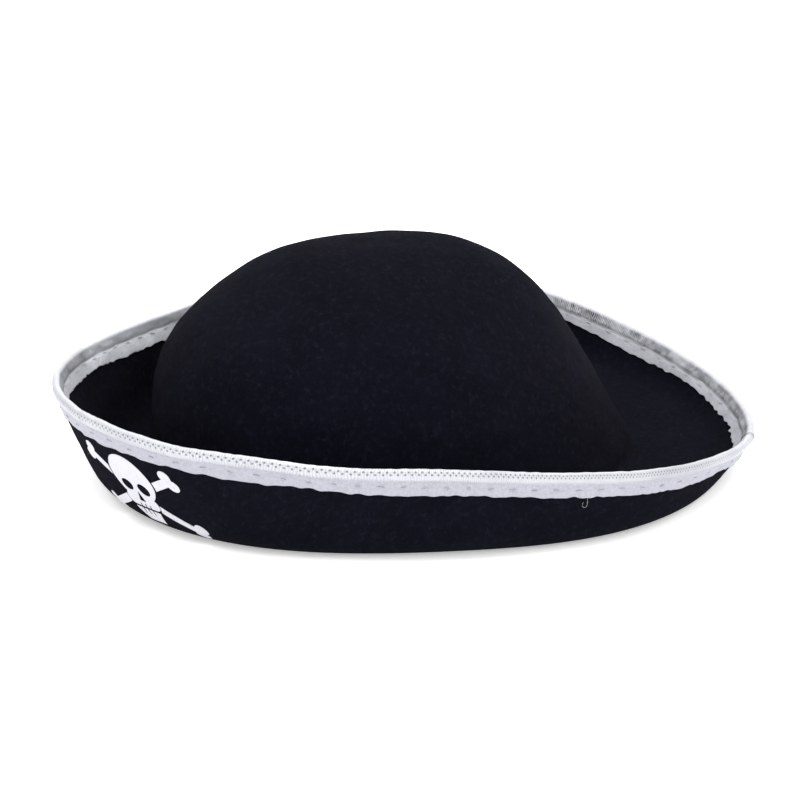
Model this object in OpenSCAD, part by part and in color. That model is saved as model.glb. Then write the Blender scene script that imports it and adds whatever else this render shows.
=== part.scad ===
/* [Head opening] */
// Inner length of the head opening, front to back
opening_length = 194; // [175:1:212]
// Inner width of the head opening, side to side
opening_width = 166; // [150:1:182]

/* [Felt] */
// Thickness of the moulded felt
felt_thickness = 2.2; // [1.6:0.1:3]

/* [Crown] */
// Height of the crown above the table
crown_height = 88; // [74:1:108]
// Fullness of the dome, where 2 is a plain ellipse
crown_fullness = 2.4; // [2:0.05:3]
// How far the crown spreads outwards near its base
crown_flare = 10; // [0:0.5:12]
// How far the dome leans to the front at half its height
crown_lean = 10; // [0:0.5:12]
// How far the dome's top stands to the front
top_shift = 5; // [0:0.5:8]
// Radius of the bend between the crown and the brim
crown_bend = 4; // [3:0.5:8]

/* [Brim] */
// Radius of the bend that turns the brim up
turn_radius = 12; // [8:0.5:14]
// Width of the flat ring that the hat rests on, at the front
front_ring = 12; // [10:1:24]
// Width of the flat ring at 60 degrees from the front
side_ring = 4; // [4:1:14]
// Width of the flat ring at 120 degrees from the front
corner_ring = 23; // [18:1:32]
// Width of the flat ring at the back
back_ring = 24; // [18:1:34]
// How far the brim's edge stands outside the flat ring, at the front
front_spread = 28; // [20:1:36]
// How far the edge stands outside the ring at 60 degrees
side_spread = 14; // [12:1:26]
// How far the edge stands outside the ring at 120 degrees
corner_spread = 20; // [17:1:30]
// How far the edge stands outside the ring at the back
back_spread = 16; // [14:1:26]
// Height of the brim's edge at the front
front_rise = 43.5; // [38:0.5:56]
// Height of the brim's edge at 60 degrees
side_rise = 35; // [30:0.5:48]
// Height of the brim's edge at 120 degrees
corner_rise = 27.5; // [24:0.5:42]
// Height of the brim's edge at the back
back_rise = 14; // [13:0.5:36]

/* [Edge ribbon] */
// How far the folded ribbon comes down each face of the brim
ribbon_drop = 8.5; // [7.5:0.5:10]
// Thickness of the ribbon
ribbon_thickness = 0.5; // [0.3:0.1:0.8]
// Angle from the front, round the left side, where the ribbon's ends meet
lap_angle = 140; // [110:1:170]
// Length of ribbon that is lapped over its own start
lap_length = 26; // [12:1:35]

/* [Stitching] */
// Distance of the stitch row from the folded edge
stitch_drop = 5; // [3:0.5:6.5]
// Distance from one stitch to the next
stitch_pitch = 10; // [6:0.2:12]
// Length of one stitch
stitch_length = 3.4; // [2:0.2:4.6]
// Width of the thread
thread_width = 0.5; // [0.3:0.1:0.8]

/* [Sweatband] */
// Height of the sweatband inside the crown
band_height = 24; // [16:1:34]
// Thickness of the sweatband
band_thickness = 0.9; // [0.6:0.1:1.4]

/* [Print] */
// Width of the skull and crossbones print
print_width = 50; // [40:1:54]
// Distance of the print's middle from the folded edge
print_drop = 29; // [28.5:0.5:33]
// Angle of the print's middle from the front, round the left side
print_angle = 9; // [0:1:14]
// Lean of the print's top to the right side of the hat, for each unit of height
print_lean = 0.25; // [0:0.05:0.3]
// Thickness of the print
print_thickness = 0.3; // [0.2:0.1:0.5]

/* [Hidden] */

// Gap between pieces that lie on each other
lay_gap = 0.05;
// Stations round the hat and along each stretch of its profile
round_steps = 80;
crown_steps = 14;
bend_steps = 4;
turn_steps = 6;
panel_steps = 3;
ribbon_steps = 2;
step_angle = 360 / round_steps;

// Sweatband: gap to the felt, stations up it and its stitches
band_gap = 0.3;
band_steps = 4;
band_stitch_rise = 3;
band_stitch_count = 60;
band_stitch_turn = 1.2;

// Print: half its angle round the brim, its lowest point, its stations and the depth it is cut to
print_span = 28;
print_low = 50;
print_margin = 1;
print_rows = 12;
print_columns = 14;
print_depth = 30;
print_gap = 0.9;

// Outlines of the skull and of the bones, before they are scaled to the print's width
drawn_width = 50;
skull_r = 10.6;
skull_widen = 1.06;
skull_rise = 6.8;
cheek_out = 5.2;
cheek_drop = 3.6;
cheek_r = 3.2;
eye_out = 4.4;
eye_rise = 2.8;
eye_r = 3;
eye_squash = 0.86;
eye_lean = 14;
nose_r = 1.5;
nose_drop = 3.6;
jaw_top_out = 3.8;
jaw_top_drop = 9.6;
jaw_low_out = 2.6;
jaw_low_drop = 13;
jaw_r = 1.8;
tooth_pitch = 2.4;
tooth_gap = 0.7;
tooth_depth = 0.9;
bone_reach = 22;
bone_climb = 12.4;
bone_w = 3.6;
knob_out = 2.2;
knob_r = 2.6;

crown_length_r = opening_length / 2 + felt_thickness;
crown_width_r = opening_width / 2 + felt_thickness;

// Value at an angle from the front of a smooth curve through its values at 0, 60, 120 and 180 degrees
function round_curve(front, side, corner, back, angle) =
    (front + 2 * side + 2 * corner + back) / 6
    + (front + side - corner - back) / 3 * cos(angle)
    + (front - side - corner + back) / 3 * cos(2 * angle)
    + (front - 2 * side + 2 * corner - back) / 6 * cos(3 * angle);
function ring_width(angle) = round_curve(front_ring, side_ring, corner_ring, back_ring, angle);
function edge_spread(angle) = round_curve(front_spread, side_spread, corner_spread, back_spread, angle);
function edge_rise(angle) = round_curve(front_rise, side_rise, corner_rise, back_rise, angle);

// Radius of an oval with its long axis front to back
function oval_radius(length_r, width_r, angle) =
    length_r * width_r / sqrt(pow(width_r * cos(angle), 2) + pow(length_r * sin(angle), 2));
function crown_radius(angle) = oval_radius(crown_length_r, crown_width_r, angle);
function turn_start(angle) = crown_radius(angle) + crown_bend + ring_width(angle);
function edge_reach(angle) = turn_start(angle) + edge_spread(angle);

// Slope and length of the straight brim panel beyond the turn
function edge_gap(angle) = [edge_spread(angle), edge_rise(angle) - turn_radius];
function panel_length(angle) =
    let (gap = edge_gap(angle)) sqrt(gap[0] * gap[0] + gap[1] * gap[1] - turn_radius * turn_radius);
function panel_slope(angle) =
    let (gap = edge_gap(angle)) atan2(gap[1], gap[0]) + atan2(turn_radius, panel_length(angle));

// Stations of the crown's outer face from the top down, each
// [radius, height, normal out, normal up, shift to the front]
crown_foot = felt_thickness + crown_bend;
function dome_radius(angle, out, up) =
    (crown_radius(angle) - crown_flare) * out + crown_flare * pow(1 - up, 2);
function dome_up(turn) = pow(cos(turn), 2 / crown_fullness);
function dome(angle, turn) = [
    dome_radius(angle, pow(sin(turn), 2 / crown_fullness), dome_up(turn)),
    crown_foot + (crown_height - crown_foot) * dome_up(turn)
];
// How far to the front the dome stands, at a share of its height
function dome_shift(up) = crown_lean * 4 * up * (1 - up) + top_shift * up * up;
function facing(from, to) =
    let (run = to - from) [-run[1], run[0]] / norm(run);
function crown_station(angle, step) =
    let (
        turn = 90 * step / crown_steps,
        nudge = 1,
        at = dome(angle, turn),
        normal = step == 0 ? [0, 1]
            : step == crown_steps ? [1, 0]
            : facing(dome(angle, turn - nudge), dome(angle, turn + nudge))
    )
    [at[0], at[1], normal[0], normal[1], dome_shift(dome_up(turn))];

// Stations of the bend at the crown's foot and of the flat ring
function bend_station(angle, step) =
    let (
        turn = 90 * step / bend_steps,
        centre = [crown_radius(angle) + crown_bend, crown_foot]
    )
    [
        centre[0] - crown_bend * cos(turn), centre[1] - crown_bend * sin(turn),
        cos(turn), sin(turn), 0
    ];

// Point of the brim, measured down its outer face from the edge and standing proud of that face
function face_point(angle, down, proud) =
    let (
        slope = panel_slope(angle),
        length = panel_length(angle),
        turn = max(0, slope - (down - length) / turn_radius * 180 / PI)
    )
    down < length ? [
        edge_reach(angle) - down * cos(slope) + proud * sin(slope),
        edge_rise(angle) - down * sin(slope) - proud * cos(slope)
    ] : [
        turn_start(angle) + (turn_radius + proud) * sin(turn),
        turn_radius - (turn_radius + proud) * cos(turn)
    ];
function face_slope(angle, down) =
    panel_slope(angle) - max(0, down - panel_length(angle)) / turn_radius * 180 / PI;
print_slope = face_slope(print_angle, print_drop);
function turn_length(angle) = panel_slope(angle) * PI / 180 * turn_radius;
function brim_downs(angle) =
    let (length = panel_length(angle)) concat(
        [for (step = [0:turn_steps - 1]) length + turn_length(angle) * (1 - step / turn_steps)],
        [for (step = [0:panel_steps]) length * (1 - step / panel_steps)]
    );

// Profiles of the felt's two faces, from the top of the crown to the brim's edge
function crown_stations(angle) = concat(
    [for (step = [1:crown_steps]) crown_station(angle, step)],
    [for (step = [1:bend_steps]) bend_station(angle, step)]
);
function felt_outer(angle) = concat(
    [for (s = crown_stations(angle)) [s[0], s[1], s[4]]],
    [for (down = brim_downs(angle)) face_point(angle, down, -felt_thickness)]
);
function felt_inner(angle) = concat(
    [
        for (s = crown_stations(angle))
            [s[0] - felt_thickness * s[2], s[1] - felt_thickness * s[3], s[4]]
    ],
    [for (down = brim_downs(angle)) face_point(angle, down, 0)]
);
function reversed(list) = [for (i = [len(list) - 1:-1:0]) list[i]];

// A point of a profile, turned round the hat to its own angle, where 0 is the front, and shifted to
// the front if it carries a shift
function placed(angle, at) =
    [at[0] * sin(angle), -at[0] * cos(angle) - (len(at) > 2 ? at[2] : 0), at[1]];

// Solid between two matching sheets of points; each row of a sheet runs along j, and closed joins
// the last row to the first
module quilt(over, under, closed) {
    rows = len(over);
    across = len(over[0]);
    side = 2 * across;
    points = [for (i = [0:rows - 1]) each concat(over[i], reversed(under[i]))];
    walls = [
        for (i = [0:closed ? rows - 1 : rows - 2]) for (j = [0:side - 1])
            let (
                next = (i + 1) % rows,
                a = i * side + j,
                b = i * side + (j + 1) % side,
                c = next * side + (j + 1) % side,
                d = next * side + j
            )
            each [[a, c, b], [a, d, c]]
    ];
    ends = [
        for (i = closed ? [] : [0, rows - 1]) for (j = [0:across - 2])
            let (
                a = i * side + j,
                b = a + 1,
                d = i * side + side - 1 - j,
                c = d - 1
            )
            each (i == 0 ? [[a, b, c], [a, c, d]] : [[a, c, b], [a, d, c]])
    ];
    polyhedron(points, concat(walls, ends), convexity = 8);
}

module felt_body() {
    rows = [for (i = [0:round_steps - 1]) i * step_angle];
    across = len(felt_outer(0));
    side = 2 * across;
    shell = [
        for (angle = rows)
            each [for (at = concat(felt_outer(angle), reversed(felt_inner(angle)))) placed(angle, at)]
    ];
    poles = [
        [0, -top_shift, crown_height],
        [0, -top_shift, crown_height - felt_thickness]
    ];
    top = len(shell);
    walls = [
        for (i = [0:round_steps - 1]) for (j = [0:side - 2])
            let (
                next = (i + 1) % round_steps,
                a = i * side + j,
                b = a + 1,
                d = next * side + j,
                c = d + 1
            )
            each [[a, c, b], [a, d, c]]
    ];
    caps = [
        for (i = [0:round_steps - 1])
            let (next = (i + 1) % round_steps)
            each [
                [top, next * side, i * side],
                [top + 1, i * side + side - 1, next * side + side - 1]
            ]
    ];
    color("#17181c")
        polyhedron(concat(shell, poles), concat(walls, caps), convexity = 8);
}

// Path of one face of the ribbon: up the brim's outer face, over the edge and down the inner face
function ribbon_path(angle, drop, proud) =
    let (fold_r = felt_thickness / 2 + proud)
    concat(
        [for (step = [0:ribbon_steps]) face_point(angle, drop * (1 - step / ribbon_steps), proud)],
        [
            for (turn = [45, 90, 135])
                face_point(angle, -fold_r * sin(turn), fold_r * cos(turn) - felt_thickness / 2)
        ],
        [
            for (step = [0:ribbon_steps])
                face_point(angle, drop * step / ribbon_steps, -felt_thickness - proud)
        ]
    );
function placed_path(angle, path) = [for (at = path) placed(angle, at)];

module folded_ribbon(angles, drop, proud, closed) {
    under = [for (angle = angles) placed_path(angle, ribbon_path(angle, drop, proud))];
    over = [
        for (angle = angles)
            placed_path(angle, ribbon_path(angle, drop, proud + ribbon_thickness))
    ];
    quilt(over, under, closed);
}

module edge_ribbon() {
    color("#d9dbe2")
        folded_ribbon(
            [for (i = [0:round_steps - 1]) i * step_angle], ribbon_drop, lay_gap, true
        );
}

// The end of the ribbon, lapped over its start and hanging a little lower
lap_hang = 1;
lap_span = lap_length / edge_reach(lap_angle) * 180 / PI;
lap_steps = 4;
module ribbon_lap() {
    color("#c3c6cf")
        folded_ribbon(
            [for (step = [0:lap_steps]) lap_angle + lap_span * step / lap_steps],
            ribbon_drop + lap_hang, 2 * lay_gap + ribbon_thickness, false
        );
}

// One stitch that lies on a face of the ribbon, following the face; side is 1 outside and -1 inside
module stitch(angle, side) {
    half_turn = stitch_length / 2 / edge_reach(angle) * 180 / PI;
    base = side > 0 ? ribbon_thickness + 2 * lay_gap : -felt_thickness - ribbon_thickness - 2 * lay_gap;
    top = base + side * thread_width;
    low = stitch_drop + thread_width / 2;
    high = stitch_drop - thread_width / 2;
    ends = [angle - half_turn, angle + half_turn];
    over = [for (a = ends) [for (down = [low, high]) placed(a, face_point(a, down, max(base, top)))]];
    under = [for (a = ends) [for (down = [low, high]) placed(a, face_point(a, down, min(base, top)))]];
    quilt(over, under, false);
}
mean_reach = (edge_reach(0) + edge_reach(60) + edge_reach(120) + edge_reach(180)) / 4;
stitch_count = round(2 * PI * mean_reach / stitch_pitch);
module stitch_row(side) {
    color("#eceef3")
        for (i = [0:stitch_count - 1])
            let (angle = (i + 0.5) * 360 / stitch_count, from_lap = abs(angle - lap_angle - lap_span / 2))
                if (from_lap > lap_span / 2 + stitch_length)
                    stitch(angle, side);
}
module outer_stitches() stitch_row(1);
module inner_stitches() stitch_row(-1);

// Point inside the crown, at a height and a distance inwards from the sweatband's outer face
function band_point(angle, height, inward) =
    let (
        up = (height - crown_foot) / (crown_height - crown_foot),
        out = pow(1 - pow(up, crown_fullness), 1 / crown_fullness)
    )
    [dome_radius(angle, out, up) - felt_thickness - band_gap - inward, height, dome_shift(up)];

// Band inside the crown that sits on the head
module sweatband() {
    angles = [for (i = [0:round_steps - 1]) i * step_angle];
    heights = [for (step = [band_steps:-1:0]) crown_foot + band_height * step / band_steps];
    over = [for (a = angles) [for (h = heights) placed(a, band_point(a, h, 0))]];
    under = [for (a = angles) [for (h = heights) placed(a, band_point(a, h, band_thickness))]];
    color("#2a2b30")
        quilt(over, under, true);
}

// Stitches that hold the sweatband along its lower edge
module band_stitches() {
    inward = band_thickness + 2 * lay_gap;
    heights = [crown_foot + band_stitch_rise, crown_foot + band_stitch_rise - thread_width];
    color("#3a3b42")
        for (i = [0:band_stitch_count - 1])
            let (
                angle = (i + 0.5) * 360 / band_stitch_count,
                ends = [angle - band_stitch_turn, angle + band_stitch_turn],
                over = [for (a = ends) [for (h = heights) placed(a, band_point(a, h, inward))]],
                under = [
                    for (a = ends)
                        [for (h = heights) placed(a, band_point(a, h, inward + thread_width))]
                ]
            )
                quilt(over, under, false);
}

// Outlines of the print, drawn flat about the point where the bones cross
module skull_outline() {
    difference() {
        union() {
            translate([0, skull_rise])
                scale([skull_widen, 1])
                    circle(r = skull_r);
            hull()
                for (side = [-1, 1])
                    translate([side * cheek_out, -cheek_drop])
                        circle(r = cheek_r);
        }
        for (side = [-1, 1])
            translate([side * eye_out, eye_rise])
                rotate(side * -eye_lean)
                    scale([1, eye_squash])
                        circle(r = eye_r);
        polygon([[0, eye_rise - eye_r], [nose_r, -nose_drop], [-nose_r, -nose_drop]]);
    }
}
module jaw_outline() {
    difference() {
        hull()
            for (side = [-1, 1]) {
                translate([side * jaw_top_out, -jaw_top_drop])
                    circle(r = jaw_r);
                translate([side * jaw_low_out, -jaw_low_drop])
                    circle(r = jaw_r);
            }
        for (i = [-1:1])
            translate([i * tooth_pitch - tooth_gap / 2, -jaw_top_drop - tooth_depth])
                square([tooth_gap, tooth_depth + 2 * jaw_r]);
    }
}
module bone_outline(right, up) {
    reach = [right * bone_reach, up * bone_climb];
    lean = atan2(reach[1], reach[0]);
    difference() {
        rotate(lean) {
            translate([0, -bone_w / 2])
                square([norm(reach), bone_w]);
            for (side = [-1, 1])
                translate([norm(reach), side * knob_out])
                    circle(r = knob_r);
        }
        offset(delta = print_gap)
            skull_cover();
    }
}
// Everything of the skull without its holes
module skull_cover() {
    translate([0, skull_rise])
        scale([skull_widen, 1])
            circle(r = skull_r);
    hull()
        for (side = [-1, 1]) {
            translate([side * cheek_out, -cheek_drop])
                circle(r = cheek_r);
            translate([side * jaw_low_out, -jaw_low_drop])
                circle(r = jaw_r);
        }
}

// Skin of print that lies on the brim's outer face, cut to the outline given as its child
module printed() {
    rows = [for (step = [-print_rows:print_rows]) print_angle + print_span * step / print_rows];
    downs = [
        for (step = [0:print_columns])
            ribbon_drop + print_margin + (print_low - ribbon_drop - print_margin) * step / print_columns
    ];
    over = [for (a = rows) [for (down = downs) placed(a, face_point(a, down, lay_gap))]];
    under = [
        for (a = rows)
            [for (down = downs) placed(a, face_point(a, down, lay_gap + print_thickness))]
    ];
    color("#f4f4f6")
        intersection() {
            quilt(under, over, false);
            translate(placed(print_angle, face_point(print_angle, print_drop, 0)))
                rotate([0, 0, print_angle])
                    rotate([180 - print_slope, 0, 0])
                        linear_extrude(height = 2 * print_depth, center = true)
                            multmatrix([[1, -print_lean], [0, 1]])
                                scale(print_width / drawn_width)
                                    children();
        }
}
module skull_print() printed() skull_outline();
module jaw_print() printed() jaw_outline();
module bone_upper_left() printed() bone_outline(-1, 1);
module bone_upper_right() printed() bone_outline(1, 1);
module bone_lower_left() printed() bone_outline(-1, -1);
module bone_lower_right() printed() bone_outline(1, -1);

felt_body();
edge_ribbon();
ribbon_lap();
outer_stitches();
inner_stitches();
sweatband();
band_stitches();
skull_print();
jaw_print();
bone_upper_left();
bone_upper_right();
bone_lower_left();
bone_lower_right();
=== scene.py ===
"""Looks of a pirate hat: moulded felt, a silver ribbon over the brim's edge and a printed skull.

Every surface of the brim is found from one description of the hat's shape, HatShape, so the felt,
the ribbon, the stitches and the print lie on each other whatever the sizes are.
"""
import logging
import math
from dataclasses import dataclass
from enum import Enum
from typing import Callable, Optional, Sequence, Union

import bpy
import numpy as np
from mathutils import Matrix, Vector


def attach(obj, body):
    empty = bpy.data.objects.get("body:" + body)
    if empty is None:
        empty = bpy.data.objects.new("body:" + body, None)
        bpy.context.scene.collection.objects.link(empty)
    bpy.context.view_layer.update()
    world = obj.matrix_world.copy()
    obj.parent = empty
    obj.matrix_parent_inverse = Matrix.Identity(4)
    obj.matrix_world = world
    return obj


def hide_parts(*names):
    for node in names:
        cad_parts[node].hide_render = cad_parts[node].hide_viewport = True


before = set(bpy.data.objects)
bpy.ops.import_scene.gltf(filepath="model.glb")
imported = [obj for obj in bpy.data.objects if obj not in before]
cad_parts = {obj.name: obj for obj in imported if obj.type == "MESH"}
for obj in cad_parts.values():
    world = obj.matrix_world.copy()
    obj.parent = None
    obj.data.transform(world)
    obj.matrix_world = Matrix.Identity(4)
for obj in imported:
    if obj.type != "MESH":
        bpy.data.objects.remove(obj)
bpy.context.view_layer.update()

LOG = logging.getLogger("pirate_hat")
MM = 0.001
TURN = 2.0 * math.pi
ROOT = "root"
STATIONS = (0.0, 60.0, 120.0, 180.0)

Faces = list[tuple[int, ...]]
FourSizes = tuple[float, float, float, float]


class Slot(Enum):
    """Material slots of the hat's record."""

    FELT = "felt"
    RIBBON = "ribbon"
    THREAD = "thread"
    DARK_THREAD = "dark_thread"
    SWEATBAND = "sweatband"
    PRINT = "print"


class Face(Enum):
    """Faces of the turned-up brim."""

    OUTER = 0
    INNER = 1


# ---------------------------------------------------------------- shape


@dataclass(frozen=True)
class Ripples:
    """Smooth, repeatable unevenness: a sum of plane waves in random directions."""

    seed: int
    wavelength: float
    strength: float
    waves: int = 14
    pitches: tuple[float, float] = (0.7, 1.5)

    def at(self, points: np.ndarray) -> np.ndarray:
        """Find the unevenness at points.

        Args:
            points: Array whose last axis holds a position, in metres.

        Returns:
            The height of the unevenness at each point, in metres.
        """
        rng = np.random.default_rng(self.seed)
        total = np.zeros(points.shape[:-1])
        for _ in range(self.waves):
            direction = rng.normal(size=3)
            direction /= np.linalg.norm(direction)
            pitch = self.wavelength * rng.uniform(*self.pitches)
            phase = rng.uniform(0.0, TURN)
            total += np.sin(points @ direction * TURN / pitch + phase)
        return total * self.strength / math.sqrt(self.waves / 2.0)


def smooth_step(low: float, high: float, value: np.ndarray) -> np.ndarray:
    """Rise smoothly from 0 at low to 1 at high."""
    share = np.clip((value - low) / (high - low), 0.0, 1.0)
    return share * share * (3.0 - 2.0 * share)


def bump(centre: float, half_width: float, value: np.ndarray) -> np.ndarray:
    """Rise smoothly to 1 at a centre and back to 0 at a half width on each side of it."""
    return np.cos(np.clip((value - centre) / half_width, -1.0, 1.0) * math.pi / 2.0) ** 2


@dataclass(frozen=True)
class Swell:
    """A smooth local change of one size round the hat; angles are in degrees from the front."""

    middle: float
    half_width: float
    amount: float

    def at(self, angle: np.ndarray) -> np.ndarray:
        """Find the change at angles given in radians."""
        away = (np.degrees(angle) - self.middle + 180.0) % 360.0 - 180.0
        return self.amount * bump(0.0, self.half_width, away)


@dataclass(frozen=True)
class HatShape:
    """Sizes of the hat, in metres, and the faces of its crown and brim.

    A size with four values holds those at the stations: the front, 60 degrees, 120 degrees and the
    back. Angles are in radians from the front and grow towards +X. Swells, the twist and the tilt
    make one side of the hat a little unlike the other.
    """

    opening_length: float = 194 * MM
    opening_width: float = 166 * MM
    felt: float = 2.2 * MM
    crown_height: float = 88 * MM
    fullness: float = 2.4
    flare: float = 10 * MM
    lean: float = 10 * MM
    top_shift: float = 5 * MM
    crown_bend: float = 4 * MM
    turn_radius: float = 12 * MM
    ring: FourSizes = (12 * MM, 4 * MM, 23 * MM, 24 * MM)
    spread: FourSizes = (28 * MM, 14 * MM, 20 * MM, 16 * MM)
    rise: FourSizes = (43.5 * MM, 35 * MM, 27.5 * MM, 14 * MM)
    twist: float = 2.9 * MM
    tilt: float = 1.0 * MM
    rise_swells: tuple[Swell, ...] = (
        Swell(-65, 45, 1.8 * MM),
        Swell(82, 36, 1.3 * MM),
        Swell(130, 45, -1.5 * MM),
    )
    ring_swells: tuple[Swell, ...] = (Swell(125, 60, 3.0 * MM),)
    spread_swells: tuple[Swell, ...] = (Swell(125, 60, -3.0 * MM), Swell(-35, 40, 2.2 * MM))
    shoulder: Swell = Swell(-42, 75, 2.8 * MM)
    dents: Ripples = Ripples(seed=11, wavelength=75 * MM, strength=0.7 * MM)
    lumps: Ripples = Ripples(seed=12, wavelength=14 * MM, strength=0.10 * MM)
    dent_floor: float = 9 * MM
    slope_nudge: float = 0.004

    @staticmethod
    def round_curve(values: Sequence[float], angle: np.ndarray) -> np.ndarray:
        """Find the smooth, even curve through values at the stations.

        Args:
            values: The four values.
            angle: Angles at which the curve is wanted.

        Returns:
            The curve's values.
        """
        front, side, corner, back = values
        return (
            (front + 2 * side + 2 * corner + back) / 6
            + (front + side - corner - back) / 3 * np.cos(angle)
            + (front - side - corner + back) / 3 * np.cos(2 * angle)
            + (front - 2 * side + 2 * corner - back) / 6 * np.cos(3 * angle)
        )

    def crown_radius(self, angle: np.ndarray) -> np.ndarray:
        """Find the radius of the crown's outer face at its foot."""
        length = self.opening_length / 2 + self.felt
        width = self.opening_width / 2 + self.felt
        return length * width / np.hypot(width * np.cos(angle), length * np.sin(angle))

    def turn_start(self, angle: np.ndarray) -> np.ndarray:
        """Find the radius at which the brim starts to turn up."""
        ring = self.round_curve(self.ring, angle) + sum(part.at(angle) for part in self.ring_swells)
        return self.crown_radius(angle) + self.crown_bend + ring

    def edge_rise(self, angle: np.ndarray) -> np.ndarray:
        """Find the height of the brim's edge."""
        uneven = self.twist * np.sin(2 * angle) - self.tilt * np.sin(angle)
        uneven = uneven + sum(part.at(angle) for part in self.rise_swells)
        return self.round_curve(self.rise, angle) + uneven

    def panel(self, angle: np.ndarray) -> tuple[np.ndarray, np.ndarray, np.ndarray]:
        """Find the straight panel between the brim's turn and its edge.

        Args:
            angle: Angles round the hat.

        Returns:
            The panel's slope, its length and the radius of the brim's edge.
        """
        spread = self.round_curve(self.spread, angle)
        spread = spread + sum(part.at(angle) for part in self.spread_swells)
        above = self.edge_rise(angle) - self.turn_radius
        length = np.sqrt(spread**2 + above**2 - self.turn_radius**2)
        slope = np.arctan2(above, spread) + np.arctan2(self.turn_radius, length)
        return slope, length, self.turn_start(angle) + spread

    def crown_profile(self, angle: np.ndarray, turn: np.ndarray) -> tuple[np.ndarray, np.ndarray]:
        """Find a point of the dome's outer face.

        Args:
            angle: Angles round the hat.
            turn: Angle down the dome, 0 at its top and a right angle at its foot.

        Returns:
            Radius and height of the point.
        """
        foot = self.felt + self.crown_bend
        out = np.sin(turn) ** (2 / self.fullness)
        up = np.clip(np.cos(turn), 0, 1) ** (2 / self.fullness)
        radius = (self.crown_radius(angle) - self.flare) * out + self.flare * (1 - up) ** 2
        radius = radius + self.shoulder.at(angle) * self.shoulder_share(up)
        return radius, foot + (self.crown_height - foot) * up

    @staticmethod
    def shoulder_share(up: np.ndarray) -> np.ndarray:
        """Rise from 0 at the dome's foot to 1 at two thirds of its height, and fall to 0 at its top."""
        return 27 / 4 * up**2 * (1 - up)

    def crown_point(self, angle: np.ndarray, turn: np.ndarray, proud: float) -> np.ndarray:
        """Find a point on or off the dome's outer face.

        Args:
            angle: Angles round the hat.
            turn: Angle down the dome.
            proud: How far the point stands outside the outer face.

        Returns:
            Positions, with the felt's dents in them.
        """
        r_0, z_0 = self.crown_profile(angle, np.clip(turn - self.slope_nudge, 0, math.pi / 2))
        r_1, z_1 = self.crown_profile(angle, np.clip(turn + self.slope_nudge, 0, math.pi / 2))
        size = np.hypot(r_1 - r_0, z_1 - z_0)
        normal = ((z_0 - z_1) / size, (r_1 - r_0) / size)
        radius, height = self.crown_profile(angle, turn)
        foot = self.felt + self.crown_bend
        up = (height - foot) / (self.crown_height - foot)
        shift = self.lean * 4 * up * (1 - up) + self.top_shift * up**2
        front = np.stack([0 * shift, -shift, 0 * shift], axis=-1)
        return self.settled(angle, radius, height, normal, proud) + front

    def foot_point(self, angle: np.ndarray, turn: np.ndarray, proud: float) -> np.ndarray:
        """Find a point of the bend between crown and brim, from the crown's side down to the ring.

        Args:
            angle: Angles round the hat.
            turn: Angle round the bend, from 0 on the crown to a right angle on the ring.
            proud: How far the point stands outside the upper face.

        Returns:
            Positions, with the felt's dents in them.
        """
        bend = self.crown_bend
        radius = self.crown_radius(angle) + bend * (1 - np.cos(turn))
        height = self.felt + bend * (1 - np.sin(turn))
        return self.settled(angle, radius, height, (np.cos(turn), np.sin(turn)), proud)

    def ring_point(self, angle: np.ndarray, share: np.ndarray, proud: float) -> np.ndarray:
        """Find a point of the flat ring.

        Args:
            angle: Angles round the hat.
            share: Place across the ring, from 0 at the crown to 1 at the turn.
            proud: How far the point stands above the upper face.

        Returns:
            Positions, with the felt's dents in them.
        """
        start = self.crown_radius(angle) + self.crown_bend
        radius = start + (self.turn_start(angle) - start) * share
        flat = np.zeros_like(radius)
        return self.settled(angle, radius, flat + self.felt, (flat, flat + 1), proud)

    def brim_point(self, angle: np.ndarray, down: np.ndarray, proud: np.ndarray) -> np.ndarray:
        """Find a point of the turned-up brim, by its outer face.

        Args:
            angle: Angles round the hat.
            down: Distance down the outer face from the edge.
            proud: How far the point stands outside the outer face.

        Returns:
            Positions, with the felt's dents in them.
        """
        slope, length, reach = self.panel(angle)
        turn = np.clip(slope - (down - length) / self.turn_radius, 0, None)
        straight = down < length
        lean = np.where(straight, slope, turn)
        radius = np.where(
            straight,
            reach - down * np.cos(slope),
            self.turn_start(angle) + self.turn_radius * np.sin(turn),
        )
        height = np.where(
            straight,
            self.edge_rise(angle) - down * np.sin(slope),
            self.turn_radius * (1 - np.cos(turn)),
        )
        return self.settled(angle, radius, height, (np.sin(lean), -np.cos(lean)), proud)

    def settled(
        self,
        angle: np.ndarray,
        radius: np.ndarray,
        height: np.ndarray,
        normal: tuple[np.ndarray, np.ndarray],
        proud: np.ndarray,
    ) -> np.ndarray:
        """Place a point of a profile round the hat and add the felt's dents.

        Args:
            angle: Angles round the hat.
            radius: Radius of the point on its face.
            height: Height of the point on its face.
            normal: Outward and upward share of the face's normal.
            proud: How far the point stands off the face.

        Returns:
            Positions in metres.
        """
        out = np.stack([np.sin(angle), -np.cos(angle), np.zeros_like(angle)], axis=-1)
        up = np.array([0.0, 0.0, 1.0])
        base = out * radius[..., None] + up * height[..., None]
        facing = out * np.asarray(normal[0])[..., None] + up * np.asarray(normal[1])[..., None]
        soft = smooth_step(0.0, self.dent_floor, height - self.felt)
        sink = self.dents.at(base) + self.lumps.at(base)
        return base + facing * (proud - soft * sink)[..., None]

    def turn_length(self, angle: np.ndarray) -> tuple[np.ndarray, np.ndarray]:
        """Find the length of the straight panel and of the turn below it."""
        slope, length, _ = self.panel(angle)
        return length, slope * self.turn_radius


# ---------------------------------------------------------------- meshes


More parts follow.
